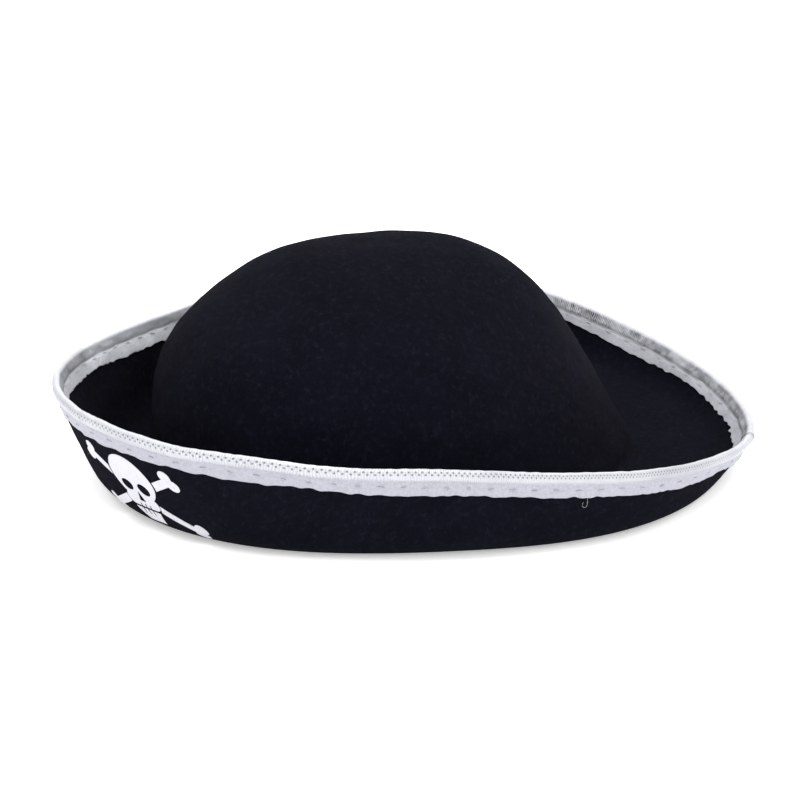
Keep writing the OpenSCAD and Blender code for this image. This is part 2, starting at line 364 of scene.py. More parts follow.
def loop_faces(rows: int, across: int, closed: bool) -> Faces:
    """List the quads between rows of points, where each row is a closed loop.

    Args:
        rows: Number of rows.
        across: Number of points in a row.
        closed: Whether the last row joins the first.

    Returns:
        Faces as tuples of point numbers.
    """
    last = rows if closed else rows - 1
    step = np.arange(across)
    faces = []
    for i in range(last):
        here = i * across
        there = (i + 1) % rows * across
        after = (step + 1) % across
        quads = np.stack([here + step, here + after, there + after, there + step], axis=1)
        faces.extend(map(tuple, quads.tolist()))
    return faces


def end_caps(rows: int, across: int) -> Faces:
    """List the quads that close both ends of a strip, whose rows run out and back on its two faces.

    Args:
        rows: Number of rows.
        across: Number of points in a row, even.

    Returns:
        Faces as tuples of point numbers.
    """
    caps = []
    for start, flip in ((0, True), ((rows - 1) * across, False)):
        for j in range(across // 2 - 1):
            quad = (start + j, start + j + 1, start + across - 2 - j, start + across - 1 - j)
            caps.append(quad[::-1] if flip else quad)
    return caps


def add_piece(
    name: str,
    points: np.ndarray,
    faces: Faces,
    weave: Optional[np.ndarray] = None,
) -> bpy.types.Object:
    """Make a mesh object that rides on the hat's body.

    Args:
        name: Name of the piece.
        points: Its points, in metres.
        faces: Its faces, as tuples of point numbers.
        weave: Coordinates along and across the cloth for each point, or None.

    Returns:
        The new object.
    """
    mesh = bpy.data.meshes.new(name)
    mesh.from_pydata(points.reshape(-1, 3).tolist(), [], faces)
    mesh.shade_smooth()
    if weave is not None:
        layer = mesh.uv_layers.new(name="weave")
        corners = np.empty(len(mesh.loops), dtype=np.int64)
        mesh.loops.foreach_get("vertex_index", corners)
        layer.data.foreach_set("uv", weave.reshape(-1, 2)[corners].astype(np.float32).ravel())
    mesh.validate()
    piece = bpy.data.objects.new(name, mesh)
    bpy.context.scene.collection.objects.link(piece)
    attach(piece, ROOT)
    return piece


def dress(piece: bpy.types.Object, finish: bpy.types.Material, slot: Slot, *nodes: str) -> None:
    """Give a piece its finish and say which part of the frame it stands for.

    Args:
        piece: The piece.
        finish: Its material.
        slot: The record's material slot; not used.
        *nodes: The frame's nodes that it replaces.
    """
    piece.data.materials.append(finish)
    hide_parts(*nodes)
    LOG.info("%s: %d faces, stands for %s", piece.name, len(piece.data.polygons), nodes)


def strip(over: np.ndarray, under: np.ndarray, closed: bool) -> tuple[np.ndarray, Faces]:
    """Close a thin strip between its two faces.

    Args:
        over: Points of the face that shows, rows by stations across by 3.
        under: Points of the hidden face, in the same order.
        closed: Whether the last row joins the first.

    Returns:
        All points and the faces between them.
    """
    points = np.concatenate([over, under[:, ::-1]], axis=1)
    rows, across = points.shape[:2]
    faces = loop_faces(rows, across, closed)
    if not closed:
        faces += end_caps(rows, across)
    return points, faces


def threads(
    paths: Sequence[np.ndarray],
    radii: Sequence[float],
    sides: int = 8,
    bluntness: int = 8,
    tip: float = 0.05,
) -> tuple[np.ndarray, Faces]:
    """Build round threads with rounded ends along paths.

    Args:
        paths: Points along the middle of each thread.
        radii: Radius of each thread.
        sides: Number of sides of its section.
        bluntness: How late a thread starts to narrow towards its ends.
        tip: Share of a thread's section that is left at its ends.

    Returns:
        All points and the faces between them.
    """
    points, faces, start = [], [], 0
    turn = np.arange(sides) * TURN / sides
    for path, radius in zip(paths, radii):
        along = np.gradient(path, axis=0)
        along /= np.linalg.norm(along, axis=1)[:, None]
        side = np.cross(along, [0.0, 0.0, 1.0])
        side /= np.linalg.norm(side, axis=1)[:, None]
        over = np.cross(side, along)
        share = np.linspace(-1, 1, len(path))
        girth = radius * np.sqrt(np.clip(1 - share**bluntness, tip, 1))
        ring = side[:, None] * np.cos(turn)[:, None] + over[:, None] * np.sin(turn)[:, None]
        tube = path[:, None] + ring * girth[:, None, None]
        points.append(tube.reshape(-1, 3))
        for i in range(len(path) - 1):
            for j in range(sides):
                a, b = start + i * sides + j, start + i * sides + (j + 1) % sides
                faces.append((a, b, b + sides, a + sides))
        faces.append(tuple(range(start + sides - 1, start - 1, -1)))
        last = start + (len(path) - 1) * sides
        faces.append(tuple(range(last, last + sides)))
        start += len(path) * sides
    return np.concatenate(points), faces


# ---------------------------------------------------------------- finishes


Value = Union[float, bpy.types.NodeSocket]


@dataclass(frozen=True)
class Ramp:
    """A smooth change from a first level to a last one while a value goes from start to stop."""

    start: float
    stop: float
    first: float = 0.0
    last: float = 1.0


@dataclass(frozen=True)
class Grain:
    """Cloudy unevenness: its spots to the metre, its number of finer layers and their strength."""

    scale: float
    detail: float
    rough: float


@dataclass(frozen=True)
class Colour:
    """A colour by its red, green and blue shares, in linear light."""

    red: float
    green: float
    blue: float

    @property
    def rgba(self) -> tuple[float, float, float, float]:
        """Give the colour with full cover."""
        return (self.red, self.green, self.blue, 1.0)

    def dimmed(self, share: float) -> "Colour":
        """Give a share of the colour."""
        return Colour(self.red * share, self.green * share, self.blue * share)


class Bench:
    """Adds nodes to one node tree and joins them up."""

    def __init__(self, tree: bpy.types.NodeTree) -> None:
        """Work on a node tree."""
        self.tree = tree

    def feed(self, node: bpy.types.Node, inputs: dict) -> None:
        """Give a node its values.

        Args:
            node: The node.
            inputs: Value or socket for each named or numbered input.
        """
        for name, value in inputs.items():
            if isinstance(value, bpy.types.NodeSocket):
                self.tree.links.new(value, node.inputs[name])
            else:
                node.inputs[name].default_value = value

    def add(self, kind: str, inputs: Optional[dict] = None, **settings: object) -> bpy.types.Node:
        """Add a node.

        Args:
            kind: Type of the node.
            inputs: Value or socket for each named or numbered input.
            **settings: Other properties of the node.

        Returns:
            The new node.
        """
        node = self.tree.nodes.new(kind)
        for name, value in settings.items():
            setattr(node, name, value)
        self.feed(node, inputs or {})
        return node

    def group(self, tree: bpy.types.NodeTree, inputs: dict) -> bpy.types.Node:
        """Place a node group and give it its values."""
        return self.add("ShaderNodeGroup", inputs, node_tree=tree)

    def where(self) -> bpy.types.NodeSocket:
        """Return the place on the hat, in metres."""
        return self.add("ShaderNodeTexCoord").outputs["Object"]

    def weave(self) -> tuple[bpy.types.NodeSocket, bpy.types.NodeSocket]:
        """Return the places along and across a cloth, in millimetres."""
        cloth = self.add("ShaderNodeUVMap", uv_map="weave").outputs[0]
        parts = self.add("ShaderNodeSeparateXYZ", {0: cloth}).outputs
        return parts[0], parts[1]

    def maths(self, operation: str, first: Value, second: Value = 0.0) -> bpy.types.NodeSocket:
        """Add a maths node and return its result."""
        return self.add("ShaderNodeMath", {0: first, 1: second}, operation=operation).outputs[0]

    def span(self, value: Value, ramp: Ramp) -> bpy.types.NodeSocket:
        """Turn a value into a ramp's level and return it."""
        levels = {0: value, 1: ramp.start, 2: ramp.stop, 3: ramp.first, 4: ramp.last}
        return self.add("ShaderNodeMapRange", levels, interpolation_type="SMOOTHSTEP").outputs[0]

    def blend(self, share: Value, first: object, second: object) -> bpy.types.NodeSocket:
        """Mix two colours by a share and return the result."""
        return self.add("ShaderNodeMix", {0: share, 6: first, 7: second}, data_type="RGBA").outputs[2]

    def clouds(self, where: Value, grain: Grain) -> bpy.types.Node:
        """Add a noise texture."""
        return self.add(
            "ShaderNodeTexNoise",
            {"Vector": where, "Scale": grain.scale, "Detail": grain.detail, "Roughness": grain.rough},
        )

    def noise(self, where: Value, grain: Grain) -> bpy.types.NodeSocket:
        """Add a noise texture and return its value."""
        return self.clouds(where, grain).outputs[0]

    def relief(self, height: Value, distance: float, strength: float = 1.0) -> bpy.types.NodeSocket:
        """Turn a height into a bumpy normal and return it."""
        bump_inputs = {"Height": height, "Distance": distance, "Strength": strength}
        return self.add("ShaderNodeBump", bump_inputs).outputs[0]


def new_group(
    name: str, inputs: dict[str, Optional[float]], outputs: Sequence[str]
) -> tuple[bpy.types.NodeTree, Bench, bpy.types.Node, bpy.types.Node]:
    """Start a shader node group whose inputs and outputs are named values.

    Args:
        name: Name of the group.
        inputs: Default value of each input, or None where it is a vector.
        outputs: Names of the outputs.

    Returns:
        The group, a bench to work on it, its input node and its output node.
    """
    group = bpy.data.node_groups.new(name, "ShaderNodeTree")
    for label, value in inputs.items():
        kind = "NodeSocketVector" if value is None else "NodeSocketFloat"
        socket = group.interface.new_socket(name=label, in_out="INPUT", socket_type=kind)
        if value is not None:
            socket.default_value = value
    for label in outputs:
        group.interface.new_socket(name=label, in_out="OUTPUT", socket_type="NodeSocketFloat")
    bench = Bench(group)
    return group, bench, bench.add("NodeGroupInput"), bench.add("NodeGroupOutput")


@dataclass(frozen=True)
class FibreMat:
    """Matted fibres of felt: a height, a mask of the loose, paler ones and a slow change of shade."""

    warp: Grain = Grain(160.0, 2.0, 0.5)
    warp_reach: float = 7 * MM
    lays: tuple[tuple[float, float, float], ...] = ((0.5, 0.3, 0.2), (1.9, 0.9, 2.3), (0.1, 2.2, 1.2))
    strand_stretch: float = 0.07
    strands: Grain = Grain(2200.0, 3.0, 0.6)
    strand_ridge: Ramp = Ramp(0.0, 0.09, 1.0, 0.0)
    strand_share: float = 0.6
    fluff: Grain = Grain(4200.0, 2.0, 0.6)
    fluff_share: float = 0.4
    picks: Grain = Grain(420.0, 2.0, 0.5)
    picked: Ramp = Ramp(0.48, 0.75)
    shades: Grain = Grain(45.0, 4.0, 0.6)

    def build(self) -> bpy.types.NodeTree:
        """Build the node group.

        Returns:
            The node group.
        """
        group, bench, given, result = new_group(
            "Matted fibres", {"Position": None, "Scale": 1.0}, ("Height", "Loose", "Cloud")
        )
        sized = bench.add(
            "ShaderNodeVectorMath",
            {0: given.outputs["Position"], "Scale": given.outputs["Scale"]},
            operation="SCALE",
        ).outputs[0]
        warp = bench.clouds(sized, self.warp).outputs[1]
        drift = bench.add("ShaderNodeVectorMath", {0: warp, "Scale": self.warp_reach}, operation="SCALE")
        bent = bench.add("ShaderNodeVectorMath", {0: sized, 1: drift.outputs[0]}, operation="ADD")
        layers = [self.layer(bench, bent.outputs[0], turn) for turn in self.lays]
        top = bench.maths("MAXIMUM", bench.maths("MAXIMUM", layers[0], layers[1]), layers[2])
        height = bench.maths(
            "ADD",
            bench.maths("MULTIPLY", top, self.strand_share),
            bench.maths("MULTIPLY", bench.noise(sized, self.fluff), self.fluff_share),
        )
        picked = bench.span(bench.noise(sized, self.picks), self.picked)
        loose = bench.maths("MULTIPLY", layers[1], picked)
        bench.feed(result, {"Height": height, "Loose": loose, "Cloud": bench.noise(sized, self.shades)})
        return group

    def layer(
        self, bench: Bench, where: bpy.types.NodeSocket, turn: tuple[float, float, float]
    ) -> bpy.types.NodeSocket:
        """Lay long strands in one direction.

        Args:
            bench: Bench of the group.
            where: Place on the felt.
            turn: Angles that set the strands' direction.

        Returns:
            A mask that is 1 along the middle of a strand.
        """
        stretch = (1.0, 1.0, self.strand_stretch)
        laid = bench.add("ShaderNodeMapping", {"Vector": where, "Rotation": turn, "Scale": stretch})
        value = bench.noise(laid.outputs[0], self.strands)
        away = bench.maths("ABSOLUTE", bench.maths("SUBTRACT", value, 0.5))
        return bench.span(away, self.strand_ridge)


def rib_group() -> bpy.types.NodeTree:
    """Build even ribs across a cloth: a rounded height that repeats along one coordinate.

    Returns:
        The node group.
    """
    group, bench, given, result = new_group("Woven ribs", {"Along": 0.0, "Pitch": 1.0}, ("Height",))
    share = bench.maths("DIVIDE", given.outputs["Along"], given.outputs["Pitch"])
    wave = bench.maths("SINE", bench.maths("MULTIPLY", share, math.pi))
    bench.feed(result, {"Height": bench.maths("ABSOLUTE", wave)})
    return group


def dot_group(rim: Ramp = Ramp(0.6, 1.1, 1.0, 0.0)) -> bpy.types.NodeTree:
    """Build a row of round dots: a mask that is 1 on the dots.

    Args:
        rim: How the mask falls across a dot's rim, by shares of its radius.

    Returns:
        The node group.
    """
    group, bench, given, result = new_group(
        "Row of dots",
        {"Along": 0.0, "Across": 0.0, "Row": 0.0, "Pitch": 2.0, "Radius": 0.3, "Start": 0.0},
        ("Mask",),
    )
    share = bench.maths("DIVIDE", given.outputs["Along"], given.outputs["Pitch"])
    phase = bench.maths("FRACT", bench.maths("ADD", share, given.outputs["Start"]))
    along = bench.maths("MULTIPLY", bench.maths("SUBTRACT", phase, 0.5), given.outputs["Pitch"])
    across = bench.maths("SUBTRACT", given.outputs["Across"], given.outputs["Row"])
    squares = [bench.maths("POWER", part, 2.0) for part in (along, across)]
    away = bench.maths("SQRT", bench.maths("ADD", *squares))
    reach = bench.maths("DIVIDE", away, given.outputs["Radius"])
    bench.feed(result, {"Mask": bench.span(reach, rim)})
    return group


def new_finish(name: str) -> tuple[bpy.types.Material, Bench, bpy.types.Node]:
    """Start a material.

    Args:
        name: Name of the material.

    Returns:
        The material, a bench to work on it and its main shader.
    """
    material = bpy.data.materials.new(name)
    material.use_nodes = True
    return material, Bench(material.node_tree), material.node_tree.nodes["Principled BSDF"]


@dataclass(frozen=True)
class FeltFinish:
    """Black needled felt with a faint bloom of loose fibres."""

    fibres: bpy.types.NodeTree
    deep: Colour = Colour(0.0010, 0.0011, 0.0026)
    body: Colour = Colour(0.0049, 0.0050, 0.0108)
    pale: Colour = Colour(0.0095, 0.0099, 0.0180)
    shading: Ramp = Ramp(0.3, 0.7)
    fibre_share: float = 0.7
    shading_share: float = 0.3
    roughness: float = 0.95
    specular: float = 0.015
    sheen: float = 0.008
    sheen_roughness: float = 0.6
    relief: float = 0.26 * MM

    def build(self) -> bpy.types.Material:
        """Make the material.

        Returns:
            The material.
        """
        material, bench, shader = new_finish("black_felt")
        fibre = bench.group(self.fibres, {"Position": bench.where()})
        height = fibre.outputs["Height"]
        shade = bench.span(fibre.outputs["Cloud"], self.shading)
        share = bench.maths(
            "ADD",
            bench.maths("MULTIPLY", height, self.fibre_share),
            bench.maths("MULTIPLY", shade, self.shading_share),
        )
        tone = bench.blend(share, self.deep.rgba, self.body.rgba)
        settings = {
            "Base Color": bench.blend(fibre.outputs["Loose"], tone, self.pale.rgba),
            "Normal": bench.relief(height, self.relief),
            "Roughness": self.roughness,
            "Specular IOR Level": self.specular,
            "Sheen Weight": self.sheen,
            "Sheen Roughness": self.sheen_roughness,
        }
        bench.feed(shader, settings)
        return material


@dataclass(frozen=True)
class SilverRibbonFinish:
    """Silver ribbon: a shiny ribbed band along the fold and a matt band along each cut edge.

    Places along and across the ribbon are in millimetres. Those across it are counted from the
    fold, and are below 0 on the inner face. Inside the brim the ribbon is painted lighter along
    its side, as painted light, and darker at its front and back, with painted shade in its small folds.
    """

    ribs: bpy.types.NodeTree
    dots: bpy.types.NodeTree
    # bright and dull: the shiny band's colour with and without a painted sheen.
    bright: Colour = Colour(0.485, 0.49, 0.525)
    dull: Colour = Colour(0.39, 0.39, 0.435)
    matt: Colour = Colour(0.39, 0.39, 0.445)
    inner: Colour = Colour(0.50, 0.505, 0.54)
    inner_matt: Colour = Colour(0.38, 0.385, 0.42)
    # Inner colour painted lighter along the brim's side: painted light.
    inner_lit: Colour = Colour(0.80, 0.82, 0.87)
    # dark: painted shade in the ribs' grooves, the inner folds and the holes, and the colour of the matt
    # band's dark specks.
    dark: Colour = Colour(0.012, 0.012, 0.018)
    inner_side: Ramp = Ramp(-0.6, 0.6, 1.0, 0.0)
    band: float = 4.8
    inner_band: float = 6.5
    band_edge: Ramp = Ramp(-0.4, 0.4, 1.0, 0.0)
    rib_pitch: float = 0.85
    rib_shadow: Ramp = Ramp(0.1, 0.7, 0.22, 0.0)
    rib_height: Ramp = Ramp(0.0, 1.0, 0.25, 1.0)
    stray: Grain = Grain(130.0, 3.0, 0.6)
    stray_reach: float = 3.0
    cord_pitch: float = 0.34
    cord_height: Ramp = Ramp(0.0, 1.0, 0.5, 0.2)
    dot_pitch: float = 2.2
    dot_rows: tuple[float, float] = (1.3, 2.2)
    dot_radius: float = 0.42
    dot_step: float = 0.5
    dot_shade: float = 0.6
    dot_depth: float = 1.2
    crinkle_grain: Grain = Grain(300.0, 3.0, 0.6)
    crinkles: Ramp = Ramp(0.36, 0.60, 0.55, 1.0)
    patch_grain: Grain = Grain(70.0, 2.0, 0.5)
    patches: Ramp = Ramp(0.38, 0.56, 0.42, 1.0)
    grooves: Ramp = Ramp(0.25, 0.9, 1.0, 0.45)
    trough_start: Ramp = Ramp(1.2, 2.8, 0.1, 1.0)
    trough_end: Ramp = Ramp(5.6, 6.5, 1.0, 0.1)
    # Where the inner face takes painted shade, in front of and behind the hat's middle.
    front_shade_zone: Ramp = Ramp(-108 * MM, -98 * MM, 0.8, 0.12)
    back_shade_zone: Ramp = Ramp(0.0, 60 * MM, 0.12, 1.0)
    # Patches of the shiny band painted brighter and duller: a painted sheen.
    sheen_patch_grain: Grain = Grain(16.0, 2.0, 0.5)
    wear_and_sheen: Ramp = Ramp(0.44, 0.58)
    speck_grain: Grain = Grain(900.0, 3.0, 0.7)
    specks: Ramp = Ramp(0.35, 0.65, 0.0, 0.16)
    metal: Ramp = Ramp(0.0, 1.0, 0.05, 0.35)
    roughness: Ramp = Ramp(0.0, 1.0, 0.62, 0.30)
    relief: float = 0.14 * MM
    relief_strength: float = 0.9

    def build(self) -> bpy.types.Material:
        """Make the material.

        Returns:
            The material.
        """
        material, bench, shader = new_finish("silver_ribbon")
        along, across = bench.weave()
        where = bench.where()
        depth = bench.maths("ABSOLUTE", across)
        inside = bench.span(across, self.inner_side)
        limit = bench.span(inside, Ramp(0.0, 1.0, self.band, self.inner_band))
        shiny = bench.span(bench.maths("SUBTRACT", depth, limit), self.band_edge)
        strayed = bench.maths(
            "ADD", along, bench.maths("MULTIPLY", bench.noise(where, self.stray), self.stray_reach)
        )
        rib = bench.group(self.ribs, {0: strayed, 1: self.rib_pitch}).outputs[0]
        cord = bench.group(self.ribs, {0: across, 1: self.cord_pitch}).outputs[0]
        outside = bench.maths("SUBTRACT", 1.0, inside)
        pricks = bench.maths("MULTIPLY", self.pricks(bench, along, depth), outside)
        # This mask is high at the brim's front and back, where the inner face is painted darker and its
        # folds get painted shade, and low along the side, where it is painted lighter.
        shade_zone = self.shade_zone(bench, where)
        folds = bench.maths("MULTIPLY", self.folds(bench, where, depth, rib), shade_zone)
        # The shiny band is painted between its dull and bright colours in patches, as a painted sheen.
        outer = bench.blend(
            bench.span(bench.noise(where, self.sheen_patch_grain), self.wear_and_sheen), self.dull.rgba, self.bright.rgba
        )
        outer = bench.blend(bench.span(rib, self.rib_shadow), outer, self.dark.rgba)
        inner = bench.blend(shade_zone, self.inner_lit.rgba, self.inner.rgba)
        top = bench.blend(inside, outer, inner)
        # Painted shade in the inner folds, and in the pricked holes below.
        top = bench.blend(bench.maths("MULTIPLY", inside, folds), top, self.dark.rgba)
        top = bench.blend(bench.maths("MULTIPLY", pricks, self.dot_shade), top, self.dark.rgba)
        inner_low = bench.blend(shade_zone, self.inner_lit.rgba, self.inner_matt.rgba)
        low = bench.blend(inside, self.matt.rgba, inner_low)
        specks = bench.span(bench.noise(where, self.speck_grain), self.specks)
        low = bench.blend(specks, low, self.dark.rgba)
        height = bench.maths(
            "ADD",
            bench.maths("MULTIPLY", rib, bench.span(shiny, self.rib_height)),
            bench.maths("MULTIPLY", cord, bench.span(shiny, self.cord_height)),
        )
        height = bench.maths("SUBTRACT", height, bench.maths("MULTIPLY", pricks, self.dot_depth))
        settings = {
            "Base Color": bench.blend(shiny, low, top),
            "Metallic": bench.span(shiny, self.metal),
            "Roughness": bench.span(shiny, self.roughness),
            "Normal": bench.relief(height, self.relief, self.relief_strength),
        }
        bench.feed(shader, settings)
        return material

    def pricks(
        self, bench: Bench, along: bpy.types.NodeSocket, depth: bpy.types.NodeSocket
    ) -> bpy.types.NodeSocket:
        """Prick two staggered rows of small holes below the fold.

        Args:
            bench: Bench of the material.
            along: Place along the ribbon.
            depth: Distance from the fold.

        Returns:
            A mask that is 1 in the holes.
        """
        rows = []
        for number, row in enumerate(self.dot_rows):
            places = {0: along, 1: depth, 2: row, 3: self.dot_pitch, 4: self.dot_radius}
            rows.append(bench.group(self.dots, {**places, 5: self.dot_step * number}).outputs[0])
        return bench.maths("MAXIMUM", *rows)

    def folds(
        self,
        bench: Bench,
        where: bpy.types.NodeSocket,
        depth: bpy.types.NodeSocket,
        rib: bpy.types.NodeSocket,
    ) -> bpy.types.NodeSocket:
        """Paint shade into the small folds of the band inside the brim, in a strip below its fold.

        Args:
            bench: Bench of the material.
            where: Place on the hat.
            depth: Distance from the fold.
            rib: Height of the ribs.

        Returns:
            A mask of painted shade that is 1 in the darkest folds.
        """
        crinkles = bench.span(bench.noise(where, self.crinkle_grain), self.crinkles)
        patches = bench.span(bench.noise(where, self.patch_grain), self.patches)
        trough = bench.maths(
            "MULTIPLY", bench.span(depth, self.trough_start), bench.span(depth, self.trough_end)
        )
        shaded = bench.maths("MULTIPLY", bench.maths("MULTIPLY", patches, crinkles), trough)
        return bench.maths("MULTIPLY", shaded, bench.span(rib, self.grooves))

    def shade_zone(self, bench: Bench, where: bpy.types.NodeSocket) -> bpy.types.NodeSocket:
        """Find where the inner ribbon takes painted shade, by the distance behind the hat's middle: most
        at its front and back, least along its side, which is painted lighter.
        """
        behind = bench.add("ShaderNodeSeparateXYZ", {0: where}).outputs[1]
        return bench.maths(
            "MAXIMUM", bench.span(behind, self.front_shade_zone), bench.span(behind, self.back_shade_zone)
        )


@dataclass(frozen=True)
class ThreadFinish:
    """Twisted sewing thread."""

    name: str
    tone: Colour
    fibres: bpy.types.NodeTree
    shade: float = 0.6
    roughness: float = 0.7
    scale: float = 1.6
    relief: float = 0.05 * MM

    def build(self) -> bpy.types.Material:
        """Make the material.

        Returns:
            The material.
        """
        material, bench, shader = new_finish(self.name)
        fibre = bench.group(self.fibres, {"Position": bench.where(), "Scale": self.scale})
        height = fibre.outputs["Height"]
        settings = {
            "Base Color": bench.blend(height, self.tone.dimmed(self.shade).rgba, self.tone.rgba),
            "Normal": bench.relief(height, self.relief),
            "Roughness": self.roughness,
        }
        bench.feed(shader, settings)
        return material


@dataclass(frozen=True)
class GrosgrainFinish:
    """Dark ribbed sweatband ribbon."""

    ribs: bpy.types.NodeTree
    tone: Colour = Colour(0.016, 0.017, 0.021)
    # Colour of the painted shade in the grooves between the ribs.
    groove_shade: Colour = Colour(0.005, 0.005, 0.007)
    rib_pitch: float = 0.9
    roughness: float = 0.75
    relief: float = 0.2 * MM

    def build(self) -> bpy.types.Material:
        """Make the material.

        Returns:
            The material.
        """
        material, bench, shader = new_finish("dark_grosgrain")
        along, _ = bench.weave()
        rib = bench.group(self.ribs, {0: along, 1: self.rib_pitch}).outputs[0]
        settings = {
            # Grooves between the ribs are darkened with painted shade.
            "Base Color": bench.blend(rib, self.groove_shade.rgba, self.tone.rgba),
            "Normal": bench.relief(rib, self.relief),
            "Roughness": self.roughness,
        }
        bench.feed(shader, settings)
        return material


@dataclass(frozen=True)
class PrintFinish:
    """White ink on felt, a little broken by the fibres below it."""

    fibres: bpy.types.NodeTree
    ink: Colour = Colour(0.56, 0.56, 0.60)
    worn: Colour = Colour(0.24, 0.24, 0.27)
    gaps: Ramp = Ramp(0.15, 0.42, 1.0, 0.0)
    patches: Ramp = Ramp(0.35, 0.7, 0.3, 1.0)
    roughness: float = 0.8
    relief: float = 0.06 * MM

    def build(self) -> bpy.types.Material:
        """Make the material.

        Returns:
            The material.
        """
        material, bench, shader = new_finish("white_print")
        fibre = bench.group(self.fibres, {"Position": bench.where()})
        height = fibre.outputs["Height"]
        wear_and_sheen = bench.maths(
            "MULTIPLY",
            bench.span(height, self.gaps),
            bench.span(fibre.outputs["Cloud"], self.patches),
        )
        settings = {
            "Base Color": bench.blend(wear_and_sheen, self.ink.rgba, self.worn.rgba),
            "Normal": bench.relief(height, self.relief),
            "Roughness": self.roughness,
        }
        bench.feed(shader, settings)
        return material


@dataclass(frozen=True)
class PaperFinish:
    """Plain pale paper of the backdrop."""

    tone: Colour = Colour(0.97, 0.97, 0.97)
    grain: Grain = Grain(3.0, 2.0, 0.5)
    shade: float = 0.995
    glow: float = 0.35
    roughness: float = 1.0
    specular: float = 0.0

    def build(self) -> bpy.types.Material:
        """Make the material.

        Returns:
            The material.
        """
        material, bench, shader = new_finish("pale_paper")
        grain = bench.noise(bench.where(), self.grain)
        tone = bench.blend(grain, self.tone.rgba, self.tone.dimmed(self.shade).rgba)
        settings = {
            "Base Color": tone,
            "Emission Color": tone,
            "Emission Strength": self.glow,
            "Roughness": self.roughness,
            "Specular IOR Level": self.specular,
        }
        bench.feed(shader, settings)
        return material


# ---------------------------------------------------------------- pieces


@dataclass
class FeltBody:
    """Crown and brim, moulded from one piece of felt."""

    shape: HatShape
    finish: bpy.types.Material
    rounds: int = 480
    crown_rows: int = 72
    bend_rows: int = 8
    ring_rows: int = 10
    turn_rows: int = 18
    panel_rows: int = 40
    edge_rows: int = 5
    top_turn: float = 0.02

    def face(self, angle: np.ndarray, thickness: float) -> list[np.ndarray]:
        """List the loops of one face from the crown's top to the brim's edge.

        Args:
            angle: Angles round the hat.
            thickness: How far the face lies below the upper one.

        Returns:
            One array of points for each loop.
        """
        quarter = math.pi / 2
        loops = [
            self.shape.crown_point(angle, np.full_like(angle, turn), -thickness)
            for turn in np.linspace(self.top_turn, quarter, self.crown_rows, endpoint=False)
        ]
        loops += [
            self.shape.foot_point(angle, np.full_like(angle, turn), -thickness)
            for turn in np.linspace(0, quarter, self.bend_rows, endpoint=False)
        ]
        loops += [
            self.shape.ring_point(angle, np.full_like(angle, share), -thickness)
            for share in np.linspace(0, 1, self.ring_rows, endpoint=False)
        ]
        length, turn_length = self.shape.turn_length(angle)
        proud = thickness - self.shape.felt
        loops += [
            self.shape.brim_point(angle, length + turn_length * share, proud)
            for share in np.linspace(1, 0, self.turn_rows, endpoint=False)
        ]
        loops += [
            self.shape.brim_point(angle, length * share, proud)
            for share in np.linspace(1, 0, self.panel_rows)
        ]
        return loops

    def build(self) -> bpy.types.Object:
        """Make the felt body.

        Returns:
            The felt body.
        """
        angle = np.arange(self.rounds) * TURN / self.rounds
        upper = self.face(angle, 0.0)
        lower = self.face(angle, self.shape.felt)
        half = self.shape.felt / 2
        edge = [
            self.shape.brim_point(angle, -half * np.sin(turn) + 0 * angle, half * np.cos(turn) - half)
            for turn in np.linspace(math.pi, 0, self.edge_rows + 2)[1:-1]
        ]
        loops = np.stack(upper + edge + lower[::-1])
        faces = loop_faces(len(loops), self.rounds, False)
        points = loops.reshape(-1, 3)
        poles = np.array([loops[0].mean(axis=0), loops[-1].mean(axis=0)])
        top, last = len(points), len(points) - self.rounds
        for i in range(self.rounds):
            after = (i + 1) % self.rounds
            faces.append((top, after, i))
            faces.append((top + 1, last + i, last + after))
        piece = add_piece("moulded_felt_body", np.concatenate([points, poles]), faces)
        dress(piece, self.finish, Slot.FELT, "felt_body")
        return piece


@dataclass(frozen=True)
class Lap:
    """The end of the edge ribbon, folded over its start."""

    angle: float = math.radians(140)
    length: float = 26 * MM
    drop: float = 9.3 * MM
    base: float = 0.31 * MM
    rows: int = 80

    def span(self, shape: HatShape) -> float:
        """Find the angle that the lap covers."""
        return self.length / float(shape.panel(np.array(self.angle))[2])


@dataclass(frozen=True)
class StitchRow:
    """Places of the stitches that hold the edge ribbon."""

    shape: HatShape
    lap: Lap
    drop: float = 5 * MM
    pitch: float = 10 * MM
    length: float = 3.0 * MM
    width: float = 0.32 * MM

    def angles(self) -> np.ndarray:
        """Find the angle of each stitch."""
        reach = self.shape.panel(np.radians(STATIONS))[2].mean()
        count = round(TURN * reach / self.pitch)
        return (np.arange(count) + 0.5) * TURN / count

    def clear(self) -> np.ndarray:
        """Find the angles of the stitches that the lap doesn't cover.

        Returns:
            Angles from the front.
        """
        angle = self.angles()
        half = self.lap.span(self.shape) / 2
        reach = self.shape.panel(angle)[2]
        return angle[np.abs(angle - self.lap.angle - half) > half + self.length / reach]

    def nearness(self, angle: np.ndarray) -> np.ndarray:
        """Find how near an angle is to a stitch: 1 at a stitch and 0 half way between two."""
        count = len(self.angles())
        return 0.5 - 0.5 * np.cos(angle * count)


